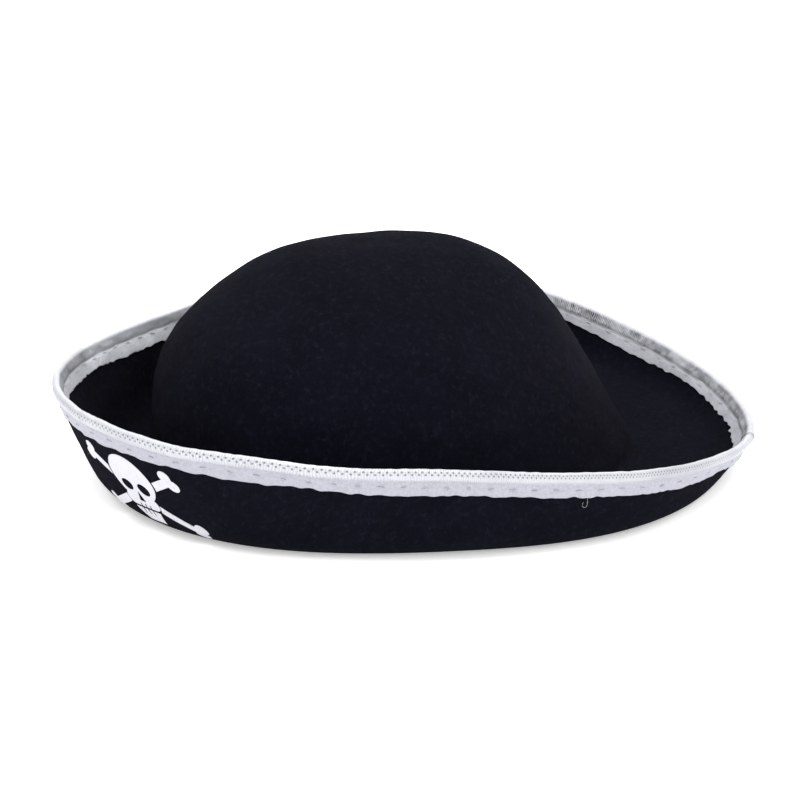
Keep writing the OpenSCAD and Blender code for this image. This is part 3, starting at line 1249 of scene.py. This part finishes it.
@dataclass
class EdgeRibbon:
    """Ribbon folded over the brim's edge and sewn down on both faces.

    It is puffed up along the fold, pinched in a crease below that, lifted off the felt between the
    stitches and held down by each of them. Its cut edges wander and are nibbled, and the inner one
    takes its unevenness from a place edges_apart higher, so that it differs from the outer one.
    """

    name: str
    node: str
    shape: HatShape
    stitches: StitchRow
    finish: bpy.types.Material
    start: float = 0.0
    span: float = TURN
    rows: int = 2200
    drop: float = 8.2 * MM
    base: float = 0.05 * MM
    thickness: float = 0.22 * MM
    flank_steps: int = 34
    arc_steps: int = 10
    roll: float = 0.28 * MM
    roll_width: float = 2.6 * MM
    inner_roll_width: float = 4.3 * MM
    crease: float = 0.20 * MM
    crease_width: float = 0.9 * MM
    roll_end: float = 0.55
    lift: float = 0.35 * MM
    held_share: float = 0.75
    sink: float = 0.40 * MM
    sink_width: float = 1.2 * MM
    sink_power: int = 12
    margin: float = 0.12 * MM
    puckers: Ripples = Ripples(seed=21, wavelength=9 * MM, strength=0.10 * MM)
    crinkles: Ripples = Ripples(seed=22, wavelength=3.2 * MM, strength=0.04 * MM)
    wander: Ripples = Ripples(seed=23, wavelength=38 * MM, strength=0.30 * MM)
    nibbles: Ripples = Ripples(seed=24, wavelength=4.6 * MM, strength=0.20 * MM)
    inner_swell: Swell = Swell(-55, 55, 2.0 * MM)
    edges_apart: float = 1.0

    def build(self, lies_on: Sequence[str]) -> bpy.types.Object:
        """Make the ribbon.

        Args:
            lies_on: Names of the pieces it lies on; not used.

        Returns:
            The ribbon.
        """
        closed = self.span >= TURN
        steps = np.arange(self.rows) / (self.rows if closed else self.rows - 1)
        angle = (self.start + self.span * steps)[:, None]
        share = np.linspace(1, 0, self.flank_steps)
        turn = np.linspace(0, math.pi, self.arc_steps)[1:-1]
        ones, none = np.ones(self.flank_steps), np.zeros(self.flank_steps)
        flank = np.concatenate([share, np.zeros(len(turn)), share[::-1]])[None]
        fold = np.concatenate([none, turn, ones * math.pi])[None]
        reach = self.shape.panel(angle)[2]
        edge = np.concatenate([np.sin(angle), -np.cos(angle), 0 * angle], axis=1) * reach
        arc = self.shape.felt / 2
        inside = fold > math.pi / 2
        shifted = edge + np.array([0.0, 0.0, self.edges_apart])
        outer, inner = ((self.wander.at(at) + self.nibbles.at(at))[:, None] for at in (edge, shifted))
        inner = inner + self.inner_swell.at(angle)
        down = (self.drop + np.where(inside, inner, outer)) * flank
        bend = (arc + self.roll + self.thickness) * np.minimum(np.abs(fold - math.pi / 2), math.pi / 2)
        across = np.where(inside, -1, 1) * (down + bend)
        relief = self.relief(angle, down, fold)
        faces = []
        for thickness in (self.thickness, 0.0):
            proud = self.base + thickness + relief
            out = arc + proud
            place = self.shape.brim_point(
                angle + 0 * down, down - out * np.sin(fold), out * np.cos(fold) - arc
            )
            faces.append(place)
        points, quads = strip(faces[0], faces[1], closed)
        along = angle * reach / MM + 0 * across
        face = np.stack([along, across / MM], axis=-1)
        weave = np.concatenate([face, face[:, ::-1]], axis=1)
        piece = add_piece(self.name, points, quads, weave)
        dress(piece, self.finish, Slot.RIBBON, self.node)
        length = self.span * float(reach.mean())
        width = 2 * self.drop + math.pi * arc
        LOG.info("%s: cut %.0f by %.0f mm", self.name, width / MM, length / MM)
        return piece

    def relief(self, angle: np.ndarray, down: np.ndarray, fold: np.ndarray) -> np.ndarray:
        """Find how far the ribbon stands off the felt.

        Args:
            angle: Angles round the hat.
            down: Distance down from the fold.
            fold: Angle round the fold, from 0 outside to half a turn inside.

        Returns:
            Heights in metres.
        """
        where = self.shape.brim_point(angle + 0 * down, down, -fold / math.pi * self.shape.felt)
        width = np.where(fold > math.pi / 2, self.inner_roll_width, self.roll_width)
        rolled = self.roll * (1 - smooth_step(self.roll_end, 1.0, down / width))
        crease = -self.crease * bump(0, self.crease_width, down - width)
        near = self.stitches.nearness(angle)
        freed = smooth_step(self.roll_width, self.drop, down)
        lift = self.lift * freed * (1 - self.held_share * near)
        held = near**self.sink_power * bump(self.stitches.drop, self.sink_width, down)
        uneven = self.puckers.at(where) * smooth_step(0, self.roll_width, down)
        fine = self.crinkles.at(where) * (1 - smooth_step(0, self.drop, down))
        total = rolled + crease + lift - self.sink * held + uneven + fine
        return np.maximum(total + self.margin, 0)


@dataclass(frozen=True)
class LooseEnd:
    """End of a thread that was left to curl below the ribbon."""

    angle: float = math.radians(94)
    start: float = 7.6 * MM
    length: float = 3.6 * MM
    hook: float = 1.2 * MM
    hook_lean: float = -0.7
    curl: float = 1.35 * math.pi
    bow: float = 0.5 * MM
    width: float = 0.13 * MM

    def path(self, points: int) -> np.ndarray:
        """Draw the end flat on the brim.

        Args:
            points: Number of points of its straight part.

        Returns:
            Distances along the brim and down it for each point.
        """
        straight = np.linspace(0, 1, points)[:, None] * [[0.0, self.length]]
        turn = np.linspace(0, self.curl, points)[1:, None]
        hook = np.concatenate([1 - np.cos(turn), np.sin(turn)], axis=1) * self.hook
        return np.concatenate([straight, hook * [self.hook_lean, 1.0] + [0.0, self.length]])


@dataclass
class StitchThreads:
    """Threads of one row of stitches, none of them quite like the next."""

    name: str
    node: str
    row: StitchRow
    finish: bpy.types.Material
    face: Face
    end: Optional[LooseEnd] = None
    seed: int = 31
    cover: float = 0.36 * MM
    bow: float = 0.22 * MM
    bow_fall: float = 2.2
    lengths: tuple[float, float] = (0.8, 1.1)
    tilt: float = 0.4 * MM
    stray: float = 0.3 * MM
    points: int = 9

    def place(self, angle: np.ndarray, down: np.ndarray, proud: np.ndarray) -> np.ndarray:
        """Find a point off the ribbon's face on this row's side of the brim."""
        off = proud if self.face is Face.OUTER else -self.row.shape.felt - proud
        return self.row.shape.brim_point(angle, down, off)

    def build(self) -> bpy.types.Object:
        """Make the row of stitches, with the loose end of the thread where there is one.

        Returns:
            The row of stitches.
        """
        rng = np.random.default_rng(self.seed + self.face.value)
        share = np.linspace(-1, 1, self.points)
        paths = []
        for angle in self.row.clear():
            reach = float(self.row.shape.panel(np.array(angle))[2])
            half = self.row.length / 2 * rng.uniform(*self.lengths) / reach
            tilt = rng.uniform(-self.tilt, self.tilt)
            down = self.row.drop + tilt * share + rng.uniform(-self.stray, self.stray)
            proud = self.cover + self.bow * (1 - self.bow_fall * share**4)
            paths.append(self.place(angle + half * share, down, proud))
        widths = [self.row.width] * len(paths)
        if self.end is not None:
            paths.append(self.laid_end(self.end))
            widths.append(self.end.width)
        points, faces = threads(paths, np.array(widths) / 2)
        piece = add_piece(self.name, points, faces)
        dress(piece, self.finish, Slot.THREAD, self.node)
        return piece

    def laid_end(self, end: LooseEnd) -> np.ndarray:
        """Lay a loose end on the brim.

        Args:
            end: The loose end.

        Returns:
            Points along its middle.
        """
        reach = float(self.row.shape.panel(np.array(end.angle))[2])
        path = end.path(self.points)
        proud = self.cover + end.bow * np.sin(np.linspace(0, math.pi, len(path)))
        return self.place(end.angle + path[:, 0] / reach, end.start + path[:, 1], proud)


@dataclass
class Sweatband:
    """Grosgrain band inside the crown and the stitches along its lower edge."""

    shape: HatShape
    finish: bpy.types.Material
    thread: bpy.types.Material
    height: float = 24 * MM
    thickness: float = 0.9 * MM
    gap: float = 0.3 * MM
    rounds: int = 480
    rows: int = 16
    stitch_count: int = 60
    stitch_rise: float = 3 * MM
    stitch_turn: float = math.radians(1.2)
    stitch_points: int = 7
    thread_radius: float = 0.25 * MM
    bow: float = 0.35 * MM
    bow_fall: float = 1.6
    puckers: Ripples = Ripples(seed=41, wavelength=22 * MM, strength=0.10 * MM)

    def place(self, angle: np.ndarray, height: np.ndarray, inward: np.ndarray) -> np.ndarray:
        """Find a point inside the crown.

        Args:
            angle: Angles round the hat.
            height: Height above the crown's foot.
            inward: Distance inwards from the felt's inner face.

        Returns:
            Positions in metres.
        """
        shape = self.shape
        up = height / (shape.crown_height - shape.felt - shape.crown_bend)
        turn = np.arccos(np.clip(up, 0, 1) ** (shape.fullness / 2))
        return shape.crown_point(angle, turn, -shape.felt - inward)

    def build(self) -> list[bpy.types.Object]:
        """Make the band and its stitches.

        Returns:
            The band and its stitches.
        """
        angle = (np.arange(self.rounds) * TURN / self.rounds)[:, None]
        height = np.linspace(self.height, 0.0, self.rows)[None] + 0 * angle
        uneven = self.puckers.at(self.place(angle + 0 * height, height, 0 * height))
        inner = self.gap + self.thickness + np.minimum(uneven, self.gap / 2)
        outer = inner - self.thickness
        over = self.place(angle + 0 * height, height, outer)
        under = self.place(angle + 0 * height, height, inner)
        points, faces = strip(over, under, True)
        reach = self.shape.crown_radius(angle)
        face = np.stack([angle * reach / MM + 0 * height, height / MM], axis=-1)
        weave = np.concatenate([face, face[:, ::-1]], axis=1)
        band = add_piece("sweatband_ribbon", points, faces, weave)
        dress(band, self.finish, Slot.SWEATBAND, "sweatband")
        stitches = add_piece("sweatband_stitches", *self.stitches())
        dress(stitches, self.thread, Slot.DARK_THREAD, "band_stitches")
        return [band, stitches]

    def stitches(self) -> tuple[np.ndarray, Faces]:
        """Build the threads along the band's lower edge.

        Returns:
            All points and the faces between them.
        """
        share = np.linspace(-1, 1, self.stitch_points)
        inward = self.gap + self.thickness + self.thread_radius
        paths = []
        for angle in (np.arange(self.stitch_count) + 0.5) * TURN / self.stitch_count:
            turned = angle + self.stitch_turn * share
            depth = inward + self.bow * (1 - self.bow_fall * share**4)
            paths.append(self.place(turned, self.stitch_rise + 0 * share, depth))
        return threads(paths, [self.thread_radius] * len(paths))


# ---------------------------------------------------------------- print


Field = Callable[[np.ndarray, np.ndarray], np.ndarray]


class Outline:
    """Flat outlines as distances: below 0 inside them and above 0 outside."""

    @staticmethod
    def disc(x: float, y: float, radius: float, squash: float = 1.0, turn: float = 0.0) -> Field:
        """Outline a disc, squashed across and turned.

        Args:
            x: Place of its middle to the right.
            y: Place of its middle upwards.
            radius: Its radius.
            squash: Its height as a share of its width.
            turn: Degrees by which it is turned.

        Returns:
            The outline.
        """
        cos, sin = math.cos(math.radians(turn)), math.sin(math.radians(turn))

        def away(px: np.ndarray, py: np.ndarray) -> np.ndarray:
            """Distance to the disc."""
            across = (px - x) * cos + (py - y) * sin
            along = ((py - y) * cos - (px - x) * sin) / squash
            return (np.hypot(across, along) - radius) * min(1.0, squash)

        return away

    @staticmethod
    def bar(x: float, y: float, to_x: float, to_y: float, radius: float) -> Field:
        """Outline a bar with round ends between two points.

        Args:
            x: Place of one end to the right.
            y: Place of that end upwards.
            to_x: Place of the other end to the right.
            to_y: Place of the other end upwards.
            radius: Half the bar's width.

        Returns:
            The outline.
        """
        run_x, run_y = to_x - x, to_y - y

        def away(px: np.ndarray, py: np.ndarray) -> np.ndarray:
            """Distance to the bar."""
            share = ((px - x) * run_x + (py - y) * run_y) / (run_x**2 + run_y**2)
            share = np.clip(share, 0, 1)
            return np.hypot(px - x - share * run_x, py - y - share * run_y) - radius

        return away

    @staticmethod
    def wedge(corners: Sequence[tuple[float, float]], radius: float) -> Field:
        """Outline a rounded shape with straight sides.

        Args:
            corners: Its corners, anticlockwise, before rounding.
            radius: How far the rounding stands outside the corners.

        Returns:
            The outline.
        """
        ends = list(corners[1:]) + [corners[0]]
        bars = [Outline.bar(*a, *b, radius) for a, b in zip(corners, ends)]

        def away(px: np.ndarray, py: np.ndarray) -> np.ndarray:
            """Distance to the shape."""
            rim = np.minimum.reduce([bar(px, py) for bar in bars])
            sides = [
                ((px - a[0]) * (b[1] - a[1]) - (py - a[1]) * (b[0] - a[0]))
                / math.hypot(b[0] - a[0], b[1] - a[1])
                for a, b in zip(corners, ends)
            ]
            return np.minimum(rim, np.maximum.reduce(sides) - radius)

        return away

    @staticmethod
    def joined(*parts: Field) -> Field:
        """Join outlines."""

        def away(px: np.ndarray, py: np.ndarray) -> np.ndarray:
            """Distance to the nearest part."""
            return np.minimum.reduce([part(px, py) for part in parts])

        return away

    @staticmethod
    def without(whole: Field, *holes: Field) -> Field:
        """Cut holes out of an outline."""

        def away(px: np.ndarray, py: np.ndarray) -> np.ndarray:
            """Distance to what is left."""
            return np.maximum.reduce([whole(px, py)] + [-hole(px, py) for hole in holes])

        return away

    @staticmethod
    def grown(whole: Field, margin: float) -> Field:
        """Grow an outline all round."""

        def away(px: np.ndarray, py: np.ndarray) -> np.ndarray:
            """Distance to the grown outline."""
            return whole(px, py) - margin

        return away


@dataclass
class PrintedEmblem:
    """White skull and crossed bones, printed on the brim's front; outlines are in millimetres."""

    shape: HatShape
    finish: bpy.types.Material
    angle: float = math.radians(9)
    drop: float = 28.3 * MM
    lean: float = 0.25
    scale: float = 0.97 * MM
    thickness: float = 0.10 * MM
    base: float = 0.03 * MM
    cell: float = 0.25
    gap: float = 0.9
    skull_r: float = 10.6
    skull_rise: float = 6.8
    widen: float = 1.06
    cheek_out: float = 5.2
    cheek_drop: float = 3.6
    cheek_r: float = 3.2
    eye_out: float = 4.4
    eye_rise: float = 2.8
    eye_r: float = 3.0
    eye_squash: float = 0.86
    eye_lean: float = 14.0
    nose_r: float = 1.5
    nose_drop: float = 3.6
    nose_round: float = 0.3
    jaw_top: tuple[float, float] = (3.8, -9.6)
    jaw_low: tuple[float, float] = (2.6, -13.0)
    jaw_r: float = 1.8
    chin_slack: float = 0.6
    tooth_pitch: float = 2.4
    tooth_gap: float = 0.35
    upper_teeth: tuple[float, float] = (-1.0, 1.3)
    lower_teeth: tuple[float, float] = (3.0, -0.6)
    bone_end: tuple[float, float] = (22.0, 12.4)
    bone_r: float = 1.8
    knob_out: float = 2.2
    knob_r: float = 2.6
    rim_passes: int = 3
    rim_nudge: float = 0.02
    least_slope: float = 0.25

    def head(self) -> Field:
        """Outline the round of the skull."""
        return Outline.disc(0, self.skull_rise, self.skull_r * self.widen, 1 / self.widen)

    def teeth(self, level: float, cut: tuple[float, float]) -> list[Field]:
        """Outline the gaps between teeth.

        Args:
            level: Height of the edge that the gaps cross.
            cut: Where a gap starts and ends, counted up from that edge.

        Returns:
            One outline for each gap.
        """
        start, stop = level + cut[0], level + cut[1]
        places = [number * self.tooth_pitch for number in (-1, 0, 1)]
        return [Outline.bar(x, start, x, stop, self.tooth_gap) for x in places]

    def skull(self) -> Field:
        """Outline the skull without its jaw.

        Returns:
            The outline.
        """
        out, low = self.cheek_out, -self.cheek_drop
        cheeks = Outline.bar(-out, low, out, low, self.cheek_r)
        eyes = [
            Outline.disc(
                side * self.eye_out, self.eye_rise, self.eye_r, self.eye_squash, -side * self.eye_lean
            )
            for side in (-1, 1)
        ]
        foot = self.nose_r - self.nose_round
        nose_top = (0.0, self.eye_rise - self.eye_r + self.nose_round)
        nose_corners = ((-foot, -self.nose_drop), (foot, -self.nose_drop), nose_top)
        nose = Outline.wedge(nose_corners, self.nose_round)
        teeth = self.teeth(low - self.cheek_r, self.upper_teeth)
        return Outline.without(Outline.joined(self.head(), cheeks), *eyes, nose, *teeth)

    def jaw(self) -> Field:
        """Outline the jaw with its teeth.

        Returns:
            The outline.
        """
        (top_x, top_y), (low_x, low_y) = self.jaw_top, self.jaw_low
        whole = Outline.wedge(
            ((-low_x, low_y), (low_x, low_y), (top_x, top_y), (-top_x, top_y)), self.jaw_r
        )
        return Outline.without(whole, *self.teeth(top_y, self.lower_teeth))

    def cover(self) -> Field:
        """Outline the skull and jaw without holes, grown by the gap that parts them from the bones.

        Returns:
            The outline.
        """
        (low_x, low_y), cheek = self.jaw_low, self.cheek_out
        chin = Outline.wedge(
            ((-low_x, low_y), (low_x, low_y), (cheek, -self.cheek_drop), (-cheek, -self.cheek_drop)),
            self.cheek_r - self.chin_slack,
        )
        return Outline.grown(Outline.joined(self.head(), chin), self.gap)

    def bone(self, right: int, up: int) -> Field:
        """Outline the end of one bone, where it shows beside the skull.

        Args:
            right: 1 for a bone end on the right and -1 for one on the left.
            up: 1 for an upper bone end and -1 for a lower one.

        Returns:
            The outline.
        """
        end_x, end_y = right * self.bone_end[0], up * self.bone_end[1]
        size = math.hypot(end_x, end_y)
        knobs = [
            Outline.disc(
                end_x - side * self.knob_out * end_y / size,
                end_y + side * self.knob_out * end_x / size,
                self.knob_r,
            )
            for side in (-1, 1)
        ]
        shaft = Outline.bar(0, 0, end_x, end_y, self.bone_r)
        return Outline.without(Outline.joined(shaft, *knobs), self.cover())

    def laid(self, x: np.ndarray, y: np.ndarray, proud: float) -> np.ndarray:
        """Lay flat points on the brim's outer face, keeping their distances.

        Args:
            x: Distance along the brim from the middle of the print.
            y: Distance up the brim from the middle of the print.
            proud: Height above the felt.

        Returns:
            Positions in metres.
        """
        down = self.drop - y * self.scale
        middle = self.shape.brim_point(np.full_like(down, self.angle), down, 0 * down)
        reach = np.hypot(middle[..., 0], middle[..., 1])
        angle = self.angle + (x - self.lean * y) * self.scale / reach
        return self.shape.brim_point(angle, down, 0 * down + proud)

    def skin(self, outline: Field) -> tuple[np.ndarray, Faces]:
        """Fill an outline with small squares, drawn in to its rim, and give the skin its thickness.

        Args:
            outline: The outline.

        Returns:
            All points and the faces between them.
        """
        reach = self.bone_end[0] + 2 * self.knob_r
        count = int(2 * reach / self.cell)
        line = (np.arange(count + 1) - count / 2) * self.cell
        grid_x, grid_y = np.meshgrid(line, line, indexing="ij")
        mid_x, mid_y = grid_x[:-1, :-1] + self.cell / 2, grid_y[:-1, :-1] + self.cell / 2
        kept = np.argwhere(outline(mid_x, mid_y) < 0)
        number = -np.ones(grid_x.shape, dtype=int)
        corners = ((0, 0), (1, 0), (1, 1), (0, 1))
        used = np.zeros(grid_x.shape, dtype=int)
        for dx, dy in corners:
            np.add.at(used, (kept[:, 0] + dx, kept[:, 1] + dy), 1)
        number[used > 0] = np.arange(int((used > 0).sum()))
        x, y = grid_x[used > 0], grid_y[used > 0]
        rim = used[used > 0] < 4
        small = self.rim_nudge
        for _ in range(self.rim_passes):
            far = outline(x, y)
            slope_x = (outline(x + small, y) - outline(x - small, y)) / (2 * small)
            slope_y = (outline(x, y + small) - outline(x, y - small)) / (2 * small)
            steep = np.maximum(slope_x**2 + slope_y**2, self.least_slope)
            step = np.clip(far / steep, -self.cell / 2, self.cell / 2) * rim
            x, y = x - step * slope_x, y - step * slope_y
        quads = np.stack([number[kept[:, 0] + dx, kept[:, 1] + dy] for dx, dy in corners], axis=1)
        size = len(x)
        faces = [tuple(quad) for quad in quads.tolist()]
        below = [tuple(size + i for i in reversed(quad)) for quad in faces]
        sides: dict[tuple[int, int], int] = {}
        for quad in faces:
            for a, b in zip(quad, quad[1:] + quad[:1]):
                sides[(a, b)] = sides.get((a, b), 0) + 1
        walls = [(b, a, size + a, size + b) for a, b in sides if (b, a) not in sides]
        top = self.laid(x, y, self.base + self.thickness)
        bottom = self.laid(x, y, self.base)
        return np.concatenate([top, bottom]), faces + below + walls

    def build(self) -> list[bpy.types.Object]:
        """Make the skull, its jaw and the four bone ends.

        Returns:
            The six printed pieces.
        """
        parts = {
            "skull": ("skull_print", self.skull()),
            "jaw": ("jaw_print", self.jaw()),
            "upper_left_bone": ("bone_upper_left", self.bone(-1, 1)),
            "upper_right_bone": ("bone_upper_right", self.bone(1, 1)),
            "lower_left_bone": ("bone_lower_left", self.bone(-1, -1)),
            "lower_right_bone": ("bone_lower_right", self.bone(1, -1)),
        }
        pieces = []
        for name, (node, outline) in parts.items():
            piece = add_piece(f"printed_{name}", *self.skin(outline))
            dress(piece, self.finish, Slot.PRINT, node)
            pieces.append(piece)
        return pieces


# ---------------------------------------------------------------- studio


@dataclass
class SoftBox:
    """A large soft lamp that points at the middle of the hat."""

    name: str
    azimuth: float
    elevation: float
    distance: float
    size: float
    power: float

    def build(self, target: Vector) -> bpy.types.Object:
        """Hang the lamp and point it at a place.

        Args:
            target: The place.

        Returns:
            The lamp.
        """
        lamp = bpy.data.lights.new(self.name, "AREA")
        lamp.size = self.size
        lamp.energy = self.power
        body = bpy.data.objects.new(self.name, lamp)
        away = Studio.direction(self.azimuth, self.elevation)
        body.location = target + away * self.distance
        body.rotation_euler = away.to_track_quat("Z", "Y").to_euler()
        bpy.context.scene.collection.objects.link(body)
        return body


@dataclass
class Studio:
    """Pale floor, soft lamps and the camera."""

    azimuth: float = 55.6
    elevation: float = 23.0
    distance: float = 1.44
    lens: float = 160.7
    shift: tuple[float, float] = (0.00875, 0.0632)
    roll: float = 1.9
    sensor: float = 36.0
    sight: float = 200.0
    floor_size: float = 60.0
    daylight: float = 1.2
    lamp_target: float = 40 * MM
    lamps: tuple[SoftBox, ...] = (
        SoftBox("key_lamp", -15.0, 62.0, 1.6, 1.1, 11.0),
        SoftBox("side_lamp", 100.0, 35.0, 1.8, 1.2, 6.0),
        SoftBox("rim_lamp", 235.0, 50.0, 1.8, 1.2, 6.0),
        SoftBox("back_lamp", 165.0, 60.0, 1.4, 1.0, 7.0),
    )

    @staticmethod
    def direction(azimuth: float, elevation: float) -> Vector:
        """Find a direction from the hat.

        Args:
            azimuth: Degrees from the front, growing towards +X.
            elevation: Degrees above the floor.

        Returns:
            The direction, one metre long.
        """
        turn, rise = math.radians(azimuth), math.radians(elevation)
        level = math.cos(rise)
        return Vector((math.sin(turn) * level, -math.cos(turn) * level, math.sin(rise)))

    def build(self, paper: bpy.types.Material) -> None:
        """Lay the floor, hang the lamps and set up the camera.

        Args:
            paper: Material of the floor.
        """
        self.lay_floor(paper)
        for lamp in self.lamps:
            lamp.build(Vector((0.0, 0.0, self.lamp_target)))
        self.light_sky()
        self.set_camera()

    def lay_floor(self, paper: bpy.types.Material) -> None:
        """Lay a wide sheet of paper below the hat.

        Args:
            paper: Its material.
        """
        half = self.floor_size / 2
        corners = np.array([[-half, -half, 0], [half, -half, 0], [half, half, 0], [-half, half, 0]])
        mesh = bpy.data.meshes.new("floor")
        mesh.from_pydata(corners.tolist(), [], [(0, 1, 2, 3)])
        floor = bpy.data.objects.new("floor", mesh)
        floor.data.materials.append(paper)
        bpy.context.scene.collection.objects.link(floor)

    def light_sky(self) -> None:
        """Light the room evenly and show colours as they are."""
        world = bpy.data.worlds.new("daylight")
        world.use_nodes = True
        sky = world.node_tree.nodes["Background"]
        sky.inputs["Color"].default_value = Colour(1.0, 1.0, 1.0).rgba
        sky.inputs["Strength"].default_value = self.daylight
        scene = bpy.context.scene
        scene.world = world
        scene.view_settings.view_transform = "Standard"
        scene.view_settings.look = "None"

    def set_camera(self) -> None:
        """Set up the camera."""
        lens = bpy.data.cameras.new("camera")
        lens.lens = self.lens
        lens.sensor_width = self.sensor
        lens.shift_x, lens.shift_y = self.shift
        lens.clip_end = self.sight
        camera = bpy.data.objects.new("camera", lens)
        away = self.direction(self.azimuth, self.elevation)
        roll = Matrix.Rotation(math.radians(self.roll), 3, "Z")
        turn = away.to_track_quat("Z", "Y").to_matrix() @ roll
        camera.location = away * self.distance
        camera.rotation_euler = turn.to_euler()
        bpy.context.scene.collection.objects.link(camera)
        bpy.context.scene.camera = camera


def main() -> None:
    """Build the hat and its studio."""
    logging.basicConfig(level=logging.INFO, format="%(message)s")
    shape = HatShape()
    fibres, ribs, dots = FibreMat().build(), rib_group(), dot_group()
    silver = SilverRibbonFinish(ribs, dots).build()
    pale_thread = ThreadFinish("pale_thread", Colour(0.42, 0.42, 0.46), fibres).build()
    dark_thread = ThreadFinish("dark_thread", Colour(0.03, 0.03, 0.036), fibres).build()
    felt = FeltBody(shape, FeltFinish(fibres).build()).build()
    lap = Lap()
    row = StitchRow(shape, lap)
    ribbon = EdgeRibbon("silver_edge_ribbon", "edge_ribbon", shape, row, silver)
    ribbon.build([felt.name])
    lapped = EdgeRibbon(
        "ribbon_lap_end",
        "ribbon_lap",
        shape,
        row,
        silver,
        start=lap.angle,
        span=lap.span(shape),
        rows=lap.rows,
        drop=lap.drop,
        base=lap.base,
    )
    lapped.build([ribbon.name])
    for name, node, face, end in (
        ("outer_stitch_row", "outer_stitches", Face.OUTER, LooseEnd()),
        ("inner_stitch_row", "inner_stitches", Face.INNER, None),
    ):
        StitchThreads(name, node, row, pale_thread, face, end).build()
    Sweatband(shape, GrosgrainFinish(ribs).build(), dark_thread).build()
    PrintedEmblem(shape, PrintFinish(fibres).build()).build()
    Studio().build(PaperFinish().build())


if __name__ == "__main__":
    main()
